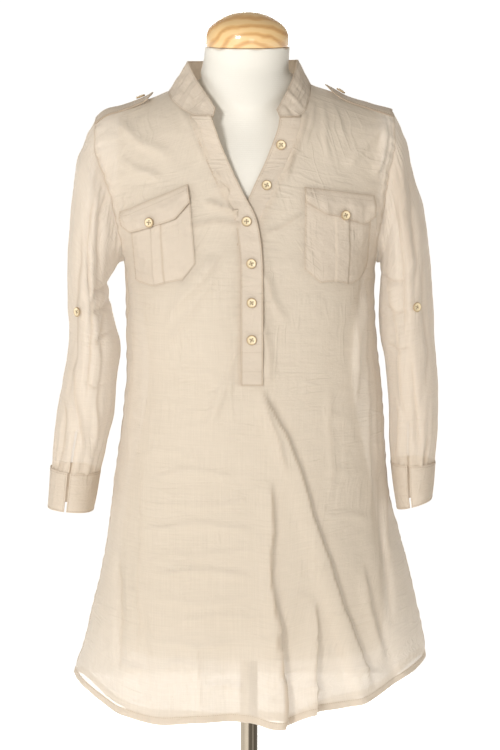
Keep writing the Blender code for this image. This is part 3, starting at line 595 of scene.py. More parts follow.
def ripple(points: Array, length: Colour, seed: float) -> Array:
    """Gentle unevenness over points, about -1 to 1.

    Args:
        points: the points.
        length: the length of a swing along each axis.
        seed: which of many patterns to read.

    Returns:
        One value a point.
    """
    flat = points.reshape(-1, 3) / np.array(length) + seed
    made = np.array([noise.noise(Vector(point)) for point in flat])
    return made.reshape(points.shape[:-1])


@dataclass(frozen=True)
class Crease:
    """A soft fold along a line on the cloth.

    A positive height is a ridge and a negative one a trough. Left and right are its two half widths.
    The mark is how dark the cloth is painted along its crest and right flank, partly for cloth lying double
    there and partly as painted shade, the fade the share of its length that it dies away over at each end,
    and the lean how far it lies over to the right.
    """

    line: tuple[Station, ...]
    left: float
    right: float
    height: float
    mark: float = 0.0
    fade: float = 0.25
    lean: float = 0.0
    mark_width: float = 1.0

    def profile(self, x: Array, z: Array) -> Array:
        """The crease's shape, 1 along its crest and 0 away from it.

        Args:
            x: places across.
            z: heights.

        Returns:
            The share of the full height at each place.
        """
        line = np.array(self.line)
        lengths = np.linalg.norm(np.diff(line, axis=0), axis=1)
        starts = np.concatenate([[0.0], np.cumsum(lengths)])
        best = np.full(x.shape, np.inf)
        side, share = np.zeros(x.shape), np.zeros(x.shape)
        for place, length in enumerate(lengths):
            (x0, z0), (x1, z1) = line[place], line[place + 1]
            ux, uz = (x1 - x0) / length, (z1 - z0) / length
            t = np.clip((x - x0) * ux + (z - z0) * uz, 0.0, length)
            dx, dz = x - x0 - t * ux, z - z0 - t * uz
            far = np.hypot(dx, dz)
            nearer = far < best
            best = np.where(nearer, far, best)
            side = np.where(nearer, ux * (z - z0) - uz * (x - x0), side)
            share = np.where(nearer, (starts[place] + t) / starts[-1], share)
        width = np.where(side > 0, self.right, self.left)
        ends = np.clip(np.minimum(share, 1.0 - share) / self.fade, 0.0, 1.0)
        ends = ends * ends * (3 - 2 * ends)
        return np.exp(-((best / width) ** 2)) * ends


WOBBLE = 0.0016
# Widths of the painted fold shade: the thin line at a crest, and how far its wide part spreads over the right
# flank.
MARK_LEFT, MARK_RIGHT, MARK_SPREAD = 0.0009, 0.0021, 3.2
TENTHS = 10000


def metres(*rows: Sequence[int]) -> tuple[tuple[float, ...], ...]:
    """The rows of a table in metres, from tenths of a millimetre."""
    return tuple(tuple(value / TENTHS for value in row) for row in rows)


def laid(*rows: tuple) -> tuple[Crease, ...]:
    """Creases from the rows of a table.

    Args:
        rows: the line's x and z by turns, the two half widths and the height, in tenths of a millimetre,
            and then the mark, the fade, the lean and the mark's width, as far as they aren't the usual ones.

    Returns:
        The creases.
    """
    made = []
    for line, left, right, height, *rest in rows:
        (places,) = metres(line)
        stations = tuple(zip(places[::2], places[1::2]))
        made.append(Crease(stations, left / TENTHS, right / TENTHS, height / TENTHS, *rest))
    return tuple(made)


def wobbled(x: Array, z: Array) -> tuple[Array, Array]:
    """Places moved a little, so that creases that are laid along straight lines run unevenly."""
    return (x + WOBBLE * (np.sin(z * 62 + x * 30) + 0.3 * np.sin(z * 171 + 1.7)) / 1.3,
            z + WOBBLE * (np.sin(x * 66 + z * 30 + 0.9) + 0.3 * np.sin(x * 183 + 0.4)) / 1.3)


def creased(creases: Sequence[Crease], x: Array, z: Array) -> Array:
    """How far the creases lift the cloth.

    Args:
        creases: the creases.
        x: places across.
        z: heights.

    Returns:
        The lift at each place.
    """
    x, z = wobbled(x, z)
    total = np.zeros(x.shape)
    for crease in creases:
        total += crease.height * crease.profile(x, z)
    return total


def fold_shading(creases: Sequence[Crease], x: Array, z: Array) -> Array:
    """How dark the cloth is painted beside the folds' crests, partly where it lies double and partly as painted
    shade.

    Args:
        creases: the creases.
        x: places across.
        z: heights.

    Returns:
        The darkness at each place, from 0 to 1.
    """
    x, z = wobbled(x, z)
    total = np.zeros(x.shape)
    for crease in creases:
        if crease.mark:
            left, right = MARK_LEFT * crease.mark_width, MARK_RIGHT * crease.mark_width
            # Thin dark line along the crest, and wider painted shade over the flank turned from the key lamp.
            thin = replace(crease, left=left, right=right).profile(x, z)
            wide = replace(crease, left=left, right=right * MARK_SPREAD).profile(x, z)
            total = np.maximum(total, crease.mark * (thin * 0.80 + wide * 0.20))
    return total


def leaned(creases: Sequence[Crease], x: Array, z: Array) -> Array:
    """How far the folds that lie over to one side shift the cloth.

    Args:
        creases: the creases.
        x: places across.
        z: heights.

    Returns:
        The shift at each place.
    """
    total = np.zeros(x.shape)
    for crease in creases:
        if crease.lean:
            total += crease.lean * crease.profile(x, z)
    return total


NEXT_TO_NOTHING = 1e-6


@dataclass
class Net:
    """A grid of cloth points with its outward normals and its place on the flat cut."""

    points: Array
    wrap: bool = False
    present: Optional[Array] = None
    shade: Optional[Array] = None
    normals: Array = field(init=False)

    def __post_init__(self) -> None:
        """Work out the normals."""
        self.settle()

    def settle(self) -> None:
        """Work out the normals again, after the points moved."""
        if self.wrap:
            columns = np.roll(self.points, -1, axis=1) - np.roll(self.points, 1, axis=1)
        else:
            columns = np.gradient(self.points, axis=1)
        normals = np.cross(columns, np.gradient(self.points, axis=0))
        self.normals = normals / np.maximum(np.linalg.norm(normals, axis=2, keepdims=True), 1e-12)

    def lifted(self, lift: Union[Array, float]) -> Net:
        """The net moved out along its normals.

        Args:
            lift: how far, for all points or for each.

        Returns:
            A new net.
        """
        amount = np.broadcast_to(np.asarray(lift, dtype=float), self.points.shape[:2])
        return Net(self.points + self.normals * amount[:, :, None], self.wrap, self.present, self.shade)

    def at(self, up: Array, across: Array, lift: float = 0.0) -> Array:
        """Points between the net's points.

        Args:
            up: shares from the first row to the last.
            across: shares from the first column to the last.
            lift: how far off the cloth they lie.

        Returns:
            The points.
        """
        rows, columns = self.points.shape[:2]
        r, c = np.clip(up, 0, 1) * (rows - 1), np.clip(across, 0, 1) * (columns - 1)
        r0 = np.minimum(r.astype(int), rows - 2)
        c0 = np.minimum(c.astype(int), columns - 2)
        fr, fc = (r - r0)[:, None], (c - c0)[:, None]
        raised = self.points + self.normals * lift
        low = raised[r0, c0] * (1 - fc) + raised[r0, c0 + 1] * fc
        high = raised[r0 + 1, c0] * (1 - fc) + raised[r0 + 1, c0 + 1] * fc
        return low * (1 - fr) + high * fr

    def path(self, stations: Sequence[Station], lift: float, count: int = 160) -> Array:
        """A line over the cloth, such as a row of stitches.

        Args:
            stations: shares up and across that it passes.
            lift: how far off the cloth it lies.
            count: how many points it has.

        Returns:
            The line's points.
        """
        places = along(stations, np.linspace(0, 1, count))
        return self.at(places[:, 0], places[:, 1], lift)

    def inset(self, edge: str, distance: float, count: int = 160) -> list[Station]:
        """Stations of a line that keeps a distance from one edge of the net.

        Args:
            edge: "left", "right", "foot" or "top".
            distance: the distance from that edge.
            count: how many stations it has.

        Returns:
            Shares up and across.
        """
        shares = np.linspace(0.0, 1.0, count)
        upright = edge in ("left", "right")
        lines = (shares * (self.points.shape[0 if upright else 1] - 1)).round().astype(int)
        points = self.points[lines] if upright else self.points[:, lines]
        lengths = np.linalg.norm(np.diff(points, axis=int(upright)), axis=2).sum(axis=int(upright))
        reach = np.clip(distance / np.maximum(lengths, NEXT_TO_NOTHING), 0.0, 1.0)
        if edge in ("right", "top"):
            reach = 1.0 - reach
        return list(zip(shares, reach) if upright else zip(reach, shares))

    def run(self, axis: int) -> Array:
        """How much cloth lies between the first row or column and each point."""
        first = self.points[:, :1] if axis else self.points[:1]
        return np.cumsum(np.linalg.norm(np.diff(self.points, axis=axis, prepend=first), axis=2), axis=axis)

    def bordered(self, reach: float = 0.0009, strength: float = 0.70) -> Net:
        """Darken the net's edges, partly where its cloth is turned in and lies double and partly as painted
        shadow.

        Args:
            reach: how wide the mark is.
            strength: how dark it is.

        Returns:
            The net itself.
        """
        up, across = self.run(0), self.run(1)
        nearest = np.minimum(np.minimum(across, across[:, -1:] - across), np.minimum(up, up[-1:] - up))
        self.shade = np.exp(-((nearest / reach) ** 2)) * strength
        return self

    def kept_cells(self) -> Array:
        """Find the cells of the grid that have cloth.

        Returns:
            True for each cell with cloth.
        """
        rows, columns = self.points.shape[:2]
        cells = columns if self.wrap else columns - 1
        return np.ones((rows - 1, cells), dtype=bool) if self.present is None else self.present

    def cut_map(self) -> Array:
        """Lay the net out flat, by its own lengths.

        Returns:
            The place of each point on the flat cut, in metres.
        """
        middle = self.points.shape[1] // 2
        across = self.run(1)
        across -= across[:, middle:middle + 1]
        rise = np.linalg.norm(np.diff(self.points, axis=0), axis=2).mean(axis=1)
        rise = np.concatenate([[0.0], np.cumsum(rise)])
        return np.stack([across, np.broadcast_to(rise[:, None], across.shape)], axis=-1)


class Cloth:
    """Turns nets into cloth pieces."""

    def __init__(self, root: str) -> None:
        """Keep the body that all cloth rides on."""
        self.root = root

    @staticmethod
    def cells(net: Net) -> tuple[Array, Array]:
        """The faces of a net's one side.

        Args:
            net: the net.

        Returns:
            Each face's four point numbers, and the places of its corners on the flat cut.
        """
        columns = net.points.shape[1]
        row, cell = np.nonzero(net.kept_cells())
        right = (cell + 1) % columns
        quads = np.stack([row * columns + cell, row * columns + right, (row + 1) * columns + right,
                          (row + 1) * columns + cell], axis=-1)
        cut = net.cut_map()
        corners = cut.reshape(-1, 2)[quads].copy()
        if net.wrap:
            last = cell == columns - 1
            reach = cut[:, -1, 0] + np.linalg.norm(net.points[:, 0] - net.points[:, -1], axis=1)
            corners[last, 1, 0] = reach[row[last]]
            corners[last, 2, 0] = reach[row[last] + 1]
        return quads, corners

    @staticmethod
    def closed(net: Net, quads: Array, corners: Array) -> tuple[Array, Array]:
        """The faces of a thin closed shell, from those of its one side.

        Args:
            net: the net, whose points the second side repeats.
            quads: each face's point numbers.
            corners: its corners' places on the flat cut.

        Returns:
            The shell's faces and corners.
        """
        present = net.kept_cells()
        row, cell = np.nonzero(present)
        count = net.points.shape[0] * net.points.shape[1]
        padded = np.pad(present, 1)
        if net.wrap:
            padded[1:-1, 0], padded[1:-1, -1] = present[:, -1], present[:, 0]
        borders, border_corners = [], []
        for side, beside in enumerate((padded[:-2, 1:-1], padded[1:-1, 2:], padded[2:, 1:-1], padded[1:-1, :-2])):
            open_here = ~beside[row, cell]
            start, end = quads[open_here, side], quads[open_here, (side + 1) % 4]
            borders.append(np.stack([end, start, start + count, end + count], axis=-1))
            first, second = corners[open_here, side], corners[open_here, (side + 1) % 4]
            border_corners.append(np.stack([second, first, first, second], axis=1))
        return (np.concatenate([quads, quads[:, ::-1] + count, *borders]),
                np.concatenate([corners, corners[:, ::-1], *border_corners]))

    def piece(self, name: str, net: Net, material: Material, thickness: float = 0.0) -> Piece:
        """Make a piece from a net, as one sheet or as a thin closed shell.

        Args:
            name: the piece's name.
            net: its points.
            material: its finish.
            thickness: 0 for one sheet, or the shell's thickness.

        Returns:
            The piece.
        """
        quads, corners = self.cells(net)
        points = net.points.reshape(-1, 3)
        sides = 1
        if thickness > 0:
            sides = 2
            quads, corners = self.closed(net, quads, corners)
            normals = net.normals.reshape(-1, 3)
            points = np.concatenate([points + normals * thickness / 2, points - normals * thickness / 2])
        mesh = bpy.data.meshes.new(name)
        used, quads = np.unique(quads, return_inverse=True)
        mesh.from_pydata(points[used].tolist(), [], quads.reshape(-1, 4).tolist())
        layer = mesh.uv_layers.new(name="cut")
        layer.data.foreach_set("uv", corners.reshape(-1).astype(np.float32))
        # The mark of cloth lying double and of painted shade beside folds and along edges, read by the finish.
        if net.shade is not None:
            marks = mesh.attributes.new("fold_shade_mark", "FLOAT", "POINT")
            marks.data.foreach_set("value", np.tile(net.shade.reshape(-1), sides)[used].astype(np.float32))
        return self.place(name, mesh, material)

    def place(self, name: str, mesh: Mesh, material: Material, sharp: float = 60.0) -> Piece:
        """Put a mesh in the scene as a finished, smooth piece.

        Args:
            name: the piece's name.
            mesh: its mesh.
            material: its finish.
            sharp: the angle in degrees past which an edge stays crisp.

        Returns:
            The piece.
        """
        mesh.validate()
        mesh.shade_smooth()
        mesh.set_sharp_from_angle(angle=math.radians(sharp))
        mesh.materials.clear()
        mesh.materials.append(material)
        item = bpy.data.objects.new(name, mesh)
        bpy.context.scene.collection.objects.link(item)
        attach(item, self.root)
        LOG.info("%s: %d faces", name, len(mesh.polygons))
        return item


# The blouse's own sizes, in tenths of a millimetre

BODY = metres(
    (6000, -2260, 2200, 1500, 1580, 20500), (6740, -2110, 2140, 1470, 1540, 20500),
    (7140, -1980, 2110, 1430, 1500, 21000), (7600, -1870, 2015, 1390, 1440, 21000),
    (8020, -1770, 1917, 1350, 1390, 21500), (8460, -1690, 1800, 1310, 1340, 21500),
    (9000, -1625, 1665, 1275, 1270, 22000), (9840, -1510, 1610, 1240, 1120, 22500),
    (10360, -1465, 1560, 1230, 1000, 22500), (11050, -1470, 1505, 1225, 960, 23000),
    (11720, -1490, 1510, 1190, 980, 23000), (12000, -1575, 1583, 1150, 1010, 23000),
    (12200, -1655, 1657, 1120, 1030, 23000), (12500, -1760, 1760, 1095, 1060, 23000),
    (12850, -1890, 1870, 1080, 1080, 23000), (13100, -2030, 2000, 1090, 1110, 23000),
    (13500, -2180, 2150, 1260, 1250, 23000), (14000, -2250, 2220, 1400, 1350, 23000),
)
RIDGE = metres(
    (0, 14200), (500, 13975), (739, 13830), (965, 13750), (1148, 13672), (1430, 13583), (1708, 13502),
    (1836, 13405), (1920, 13300), (2200, 12900),
)
HEM_FRONT = metres(
    (-2130, 6735), (-1600, 6445), (-1150, 6340), (-500, 6375), (0, 6385), (350, 6320), (750, 6480),
    (1100, 6520), (1400, 6570), (1740, 6735), (2130, 6920),
)
HEM_BACK = metres(
    (-2130, 6735), (-1600, 6090), (-1150, 5890), (-500, 5835), (0, 5815), (500, 5835), (1000, 6035),
    (1600, 6320), (2130, 6920),
)
OVER_EDGE = metres(
    (10300, 165), (11340, 162), (11800, 159), (12076, 135), (12270, 99), (12390, 58), (12516, -9),
    (12620, -67), (12820, -165), (13080, -282), (13345, -380), (13497, -435),
)
UNDER_SEAM = metres(
    (10300, 125), (11800, 125), (12150, 118), (12286, 126), (12529, 239), (12746, 337), (13005, 461),
    (13345, 594), (13497, 625),
)
NECK_LEFT = metres((-645, 13497), (-800, 13570), (-915, 13655), (-965, 13750))
NECK_RIGHT = metres((625, 13497), (690, 13590), (728, 13710), (739, 13830))
ARM_LEFT = metres(
    (-1490, 11720), (-1525, 12005), (-1566, 12190), (-1635, 12514), (-1740, 12800), (-1829, 13060),
    (-1836, 13405),
)
ARM_RIGHT = metres(
    (1510, 11720), (1528, 12006), (1566, 12190), (1617, 12514), (1671, 12855), (1735, 13104), (1720, 13498),
)

# Folds that the solids have too. Columns: x0, z0, x1, z1, width left, width right, height at the end
FOLDS_FRONT = metres(
    (280, 9000, 330, 6250, 200, 70, 130), (790, 8000, 720, 6400, 220, 70, 100),
    (170, 10360, 1400, 6500, 120, 140, 85), (-1590, 8200, -1570, 6500, 100, 120, 70),
    (-900, 8600, -1050, 6250, 200, 200, 65), (-250, 8000, -250, 6300, 160, 160, -75),
    (1150, 9000, 1750, 6700, 100, 100, -60),
)
FOLDS_BACK = metres(
    (0, 10000, 100, 6200, 240, 180, 130), (-600, 9000, -850, 6250, 180, 120, 110),
    (700, 9200, 900, 6250, 140, 200, 110), (-1200, 8500, -1500, 6400, 140, 140, 85),
    (1250, 8600, 1500, 6400, 140, 140, -85), (400, 8500, 480, 6200, 120, 120, -70),
    (-350, 8500, -400, 6200, 120, 120, -70),
)

# Sleeve rings. Columns: outer x, outer z, inner x, inner z, half depth, middle y
SLEEVE_LEFT = metres(
    (-2000, 13050, -1560, 11690, 660, 40), (-2068, 12818, -1610, 11600, 700, 20),
    (-2137, 12260, -1655, 11450, 730, 0), (-2168, 11726, -1645, 11250, 730, -40),
    (-2165, 11250, -1600, 10980, 710, -80), (-2153, 10880, -1550, 10750, 690, -110),
    (-2190, 10550, -1560, 10480, 660, -140), (-2245, 10230, -1590, 10180, 620, -160),
    (-2300, 9850, -1630, 9850, 560, -170), (-2338, 9580, -1700, 9560, 500, -170),
    (-2365, 9245, -1796, 9200, 440, -160),
)
SLEEVE_RIGHT = metres(
    (1905, 13080, 1575, 11700, 660, 40), (1975, 12790, 1580, 11600, 700, 20),
    (2119, 12165, 1570, 11430, 730, 0), (2168, 11780, 1560, 11250, 730, -40),
    (2195, 11350, 1560, 11040, 710, -80), (2218, 11016, 1575, 10790, 680, -110),
    (2235, 10650, 1640, 10500, 640, -140), (2265, 10230, 1670, 10150, 600, -160),
    (2268, 9900, 1675, 9850, 540, -170), (2250, 9560, 1690, 9560, 480, -170),
    (2225, 9310, 1710, 9310, 440, -160),
)
CUFF_LEFT = metres(
    (-2367, 9260, -1798, 9215, 440, -160), (-2385, 9000, -1840, 8960, 425, -160),
    (-2402, 8775, -1880, 8740, 415, -160),
)
CUFF_RIGHT = metres(
    (2225, 9325, 1712, 9325, 440, -160), (2205, 9100, 1745, 9030, 425, -160),
    (2187, 8900, 1790, 8760, 415, -160),
)
COLLAR_TOP = metres(
    (-394, -745, 13599), (-500, -560, 13750), (-629, -340, 13919), (-728, -50, 14102), (-715, 250, 14090),
    (-560, 530, 14075), (-280, 660, 14070), (0, 690, 14070), (280, 660, 14080), (500, 500, 14090),
    (580, 230, 14110), (575, -50, 14124), (520, -370, 13930), (420, -600, 13740), (322, -745, 13579),
)

# Pockets and flaps. Columns: share across, top x, top z, foot x, foot z
POCKET_LEFT = metres(
    (0, -1400, 12330, -1330, 11560), (800, -1345, 12350, -1290, 11530), (3000, -1178, 12410, -1130, 11500),
    (3400, -1150, 12420, -1105, 11503), (5200, -1040, 12460, -985, 11545), (5600, -1010, 12470, -960, 11555),
    (8000, -830, 12530, -775, 11595), (10000, -695, 12580, -625, 11790),
)
POCKET_RIGHT = metres(
    (0, 655, 12560, 648, 11730), (2200, 840, 12540, 830, 11560), (4400, 985, 12520, 985, 11570),
    (4800, 1010, 12515, 1010, 11568), (6800, 1175, 12490, 1155, 11530), (7200, 1200, 12480, 1180, 11520),
    (8600, 1320, 12460, 1290, 11560), (10000, 1440, 12440, 1390, 11690),
)
FLAP_LEFT = metres(
    (0, -1515, 12364, -1470, 12200), (1200, -1420, 12400, -1373, 12125), (4500, -1150, 12524, -1100, 12215),
    (6200, -1030, 12575, -985, 12255), (8000, -880, 12640, -854, 12304), (10000, -713, 12714, -685, 12509),
)
FLAP_RIGHT = metres(
    (0, 647, 12679, 659, 12500), (2500, 870, 12650, 882, 12364), (4500, 1035, 12625, 1047, 12327),
    (6200, 1180, 12602, 1190, 12280), (8200, 1330, 12580, 1328, 12226), (10000, 1467, 12560, 1455, 12310),
)

# Creases. Columns: the line's x and z by turns, width left, width right, height, mark, fade, lean, mark width
FRONT_CREASES = laid(
    ((271, 9272, 271, 8542, 271, 7935, 330, 7129, 361, 6200), 120, 30, 60, 0.75, 0.1),
    ((325, 9000, 330, 7935, 395, 7129, 425, 6250), 30, 70, -18, 0.0, 0.12),
    ((791, 7823, 755, 7183, 738, 6400), 80, 30, 34, 0.55, 0.12),
    ((118, 10396, 400, 9838, 660, 9181, 791, 8623, 1028, 7966, 1243, 7283, 1472, 6650), 150, 36, 64, 0.8, 0.08),
    ((320, 8000, 335, 7100, 361, 6400, 365, 5600), 140, 40, 30, 0.0, 0.3, 0.0045),
    ((771, 7900, 745, 7200, 728, 6500, 730, 5800), 120, 36, 30, 0.0, 0.3, 0.004),
    ((165, 10380, 455, 9838, 715, 9181, 848, 8623, 1084, 7966, 1302, 7283, 1530, 6700), 30, 70, -18, 0.0, 0.1),
    ((153, 10290, 330, 9721, 471, 9247), 60, 30, 43, 0.3),
    ((1463, 9757, 1563, 8904, 1656, 8089, 1727, 7322), 80, 40, -50, 0.3),
    ((1316, 8251, 1460, 7532, 1606, 6947), 70, 40, 50, 0.3),
    ((-1551, 8369, -1560, 7734, -1532, 6763), 50, 70, -48, 0.3),
    ((-1293, 7772, -1256, 7193, -1172, 6621), 80, 80, -36),
    ((-626, 7352, -578, 6884, -531, 6388), 80, 70, 41, 0.3),
    ((-859, 11357, -622, 11637, -375, 11934), 110, 70, 42),
    ((-129, 10526, -364, 10215, -506, 9833), 60, 80, 48),
    ((59, 12296, -246, 12434, -575, 12524), 30, 50, 49, 0.3),
    ((35, 12238, -399, 12282, -764, 12230), 30, 60, 46, 0.3),
    ((12, 12377, -152, 12585, -411, 12699), 40, 40, 46),
    ((153, 12122, 505, 12281, 670, 12372), 40, 40, 35, 0.3),
    ((-696, 13543, -541, 13228, -317, 12723, -129, 12284), 50, 25, 33, 0.0, 0.1),
    ((-816, 13626, -659, 13226, -493, 12906), 50, 40, 30),
    ((-246, 13000, -411, 13091, -553, 13089), 30, 30, 15),
    ((-152, 12747, -317, 12815, -481, 12791), 30, 30, 17),
    ((-364, 13289, -506, 13345, -624, 13319), 30, 30, 15),
    ((662, 13686, 636, 13341, 553, 12996), 26, 22, 16, 0.0, 0.3),
    ((770, 13702, 722, 13400, 668, 13130), 28, 22, 18, 0.0, 0.3),
    ((866, 13688, 896, 13312, 954, 12920), 36, 26, 18, 0.0, 0.3),
    ((973, 13662, 1060, 13390, 1160, 13130), 40, 28, 16, 0.0, 0.3),
    ((554, 13481, 529, 13112, 411, 12699), 30, 30, 35, 0.3),
    ((1627, 13423, 1574, 13084, 1513, 12737), 50, 40, 48),
    ((-1627, 13445, -1287, 13187, -859, 13014), 60, 80, 46),
    ((-1549, 12970, -1285, 12841, -977, 12782), 50, 60, 42),
    ((1651, 13443, 1383, 13184, 1143, 12869), 60, 60, 49),
    ((-1639, 11990, -1497, 11414, -1443, 10916), 70, 60, -41),
    ((1511, 11877, 1363, 11428, 1327, 10961), 60, 70, -41),
    ((1440, 11500, 1300, 10900, 1250, 10300), 60, 50, 48),
    ((1260, 11300, 1275, 10700, 1262, 10000), 40, 30, 14, 0.28),
    # No height: only a broad painted shade down the right side of the front.
    ((1450, 11800, 1480, 9600, 1560, 8400, 1620, 7300), 100, 100, 0, 0.18, 0.2, 0.0, 9.0),
    ((-250, 12000, -520, 11600, -1010, 11080), 80, 50, 42, 0.16),
    ((-300, 11700, -640, 11280, -980, 10720), 70, 50, 30, 0.12),
    ((150, 11750, 290, 11350, 480, 11050), 50, 60, 36, 0.14),
    ((140, 11150, 230, 10700, 250, 10350), 40, 50, 30, 0.2),
    ((-130, 10900, -200, 10600, -260, 10350), 40, 40, 26, 0.14),
    ((-1420, 10600, -1440, 9800, -1480, 9000), 40, 40, 12, 0.18),
    ((950, 10500, 960, 9700, 980, 8900), 50, 50, 14, 0.12),
    ((1370, 11600, 1400, 10300, 1428, 9600, 1480, 8400), 40, 30, 20, 0.38),
    ((1452, 11300, 1490, 10000, 1536, 9300, 1600, 8000), 40, 30, 20, 0.42),
    ((1520, 11000, 1570, 9800, 1655, 8600, 1700, 7600), 40, 30, 18, 0.42),
    ((-1250, 9600, -1300, 8300, -1340, 7000), 50, 40, 14, 0.18),
    ((-1350, 11300, -1390, 10300, -1440, 9400), 40, 40, 14, 0.2),
    ((-1221, 9217, -696, 9353, -106, 9296), 60, 40, 27), ((-1173, 8963, -578, 8909, 83, 9013), 50, 40, 15),
    ((-1294, 8593, -625, 8718, 153, 8659), 60, 40, 29), ((-1173, 8395, -507, 8344, 153, 8448), 50, 40, 18),
    ((-1221, 8074, -625, 8175, 106, 8096), 50, 40, 33), ((-1173, 7809, -389, 7782, 153, 7886), 50, 40, 15),
    ((-934, 7550, -389, 7641, 201, 7583), 50, 50, 22), ((-1173, 7319, -626, 7258, 12, 7366), 50, 50, 18),
    ((838, 8759, 1148, 8805, 1463, 8696), 50, 40, 27), ((957, 8285, 1220, 8192, 1509, 8228), 50, 40, 7),
    ((601, 9243, 957, 9342, 1220, 9271), 50, 40, 9), ((-1392, 9460, -1052, 9565, -696, 9542), 50, 40, 8),
    ((366, 7836, 602, 7876, 815, 7799), 50, 40, 17), ((-1052, 9801, -577, 9901, -153, 9840), 50, 40, 6),
    ((601, 9951, 956, 10006, 1316, 9901), 60, 40, 11), ((-1052, 7006, -815, 7064, -507, 6980), 40, 40, 21),
    ((-578, 6767, -271, 6861, -35, 6776), 40, 40, 42), ((555, 6775, 673, 6847, 887, 6755), 40, 40, 38),
    ((1124, 6909, 1338, 6992, 1606, 6853), 40, 40, 42), ((-1533, 7049, -1412, 6967, -1220, 6988), 40, 40, 35),
)

BACK_CREASES = laid(
    ((20, 11500, 0, 10000, 100, 8500, 110, 6150), 100, 50, 56, 0.45, 0.12),
    ((-500, 10000, -650, 8500, -850, 6150), 80, 40, 48, 0.35, 0.12),
    ((600, 10200, 800, 8500, 900, 6150), 40, 90, 48, 0.35, 0.12),
    ((-1150, 9500, -1350, 8000, -1500, 6400), 70, 50, 28, 0.0, 0.15),
    ((1200, 9600, 1400, 8000, 1550, 6500), 60, 70, -26, 0.0, 0.15),
    ((-900, 13500, -600, 12700, -200, 12100), 80, 60, 34), ((800, 13500, 600, 12800, 250, 12250), 60, 80, 34),
    ((-1500, 12500, -1100, 12100, -500, 11900), 60, 60, 30),
    ((1500, 12450, 1100, 12050, 600, 11850), 60, 60, 30),
    ((-1250, 11100, -700, 11020, 100, 11100), 60, 50, 27),
    ((-300, 10800, 500, 10730, 1200, 10820), 60, 50, 27), ((-1200, 10500, -600, 10420, 0, 10460), 50, 50, 25),
    ((200, 10200, 700, 10130, 1200, 10200), 50, 50, 23), ((-1100, 9700, -700, 9620, -200, 9700), 60, 40, 19),
    ((200, 9200, 600, 9130, 1200, 9220), 50, 40, 19), ((-1200, 8600, -700, 8530, -100, 8620), 60, 40, 21),
    ((200, 8000, 700, 7930, 1300, 8020), 50, 40, 19), ((-1300, 7500, -800, 7430, -200, 7520), 50, 40, 19),
    ((300, 7000, 700, 6930, 1200, 7020), 50, 40, 19),
)

SLEEVE_LEFT_CREASES = laid(
    ((-1855, 12867, -1953, 12107, -1908, 11655, -1909, 11310), 60, 35, 56, 0.5),
    ((-1713, 12973, -1786, 12499, -1812, 11786, -1768, 10952), 50, 40, 42, 0.5),
    ((-1999, 12499, -2073, 11786, -2100, 10952, -2175, 10114), 50, 40, 37, 0.5),
    ((-1765, 11715, -1861, 11429, -1934, 10952, -1961, 10234), 40, 35, 42, 0.5),
    ((-1622, 11905, -1719, 11310, -1793, 10713, -1843, 9875), 40, 40, 40, 0.5),
    ((-1792, 10952, -1818, 10354, -1868, 9634), 35, 35, -34, 0.5),
    ((-2222, 10354, -2248, 9875, -2274, 9330), 30, 30, 28, 0.5),
    ((-2124, 10832, -2056, 10234, -2011, 9634), 40, 35, -34, 0.5),
    ((-1575, 11762, -1694, 11619, -1861, 11548), 40, 30, 37, 0.5),
    ((-1600, 11477, -1719, 11357, -1885, 11310), 40, 30, 37, 0.5),
    ((-1625, 11095, -1744, 11047, -1863, 10952), 40, 30, 28, 0.5),
    ((-1700, 10500, -1850, 10450, -2000, 10530), 40, 30, 19, 0.5),
)
SLEEVE_RIGHT_CREASES = laid(
    # The first two have no height: they are only broad painted shade over the right sleeve, which lies turned from
    # the key lamp.
    ((1720, 13600, 1830, 12700, 1900, 12100, 1960, 11500), 100, 100, 0, 0.42, 0.35, 0.0, 11.0),
    ((1850, 13600, 1950, 11500, 1970, 9400), 100, 100, 0, 0.22, 0.1, 0.0, 18.0),
    ((1878, 13328, 1975, 12618, 2025, 11905, 1981, 11190), 50, 40, 42, 0.5),
    ((1738, 12855, 1787, 12262, 1861, 11548, 1840, 10832), 40, 50, 42, 0.5),
    ((2071, 12262, 2098, 11548, 2148, 10832, 2128, 10114), 40, 40, 28, 0.5),
    ((1646, 12024, 1743, 11429, 1840, 10713, 1891, 9875), 40, 40, -37, 0.5),
    ((1934, 10952, 2008, 10234, 2035, 9514), 40, 30, 31, 0.5),
    ((1794, 10354, 1820, 9875, 1798, 9394), 30, 30, -31, 0.5),
    ((1599, 11762, 1742, 11691, 1908, 11715), 40, 30, 34, 0.5),
    ((1624, 11429, 1791, 11333, 1980, 11357), 40, 30, 31, 0.5),
    ((1650, 10952, 1816, 10904, 1958, 10952), 40, 30, 25, 0.5),
    ((2153, 9875, 2130, 9634, 2154, 9442), 30, 30, 25, 0.5),
)


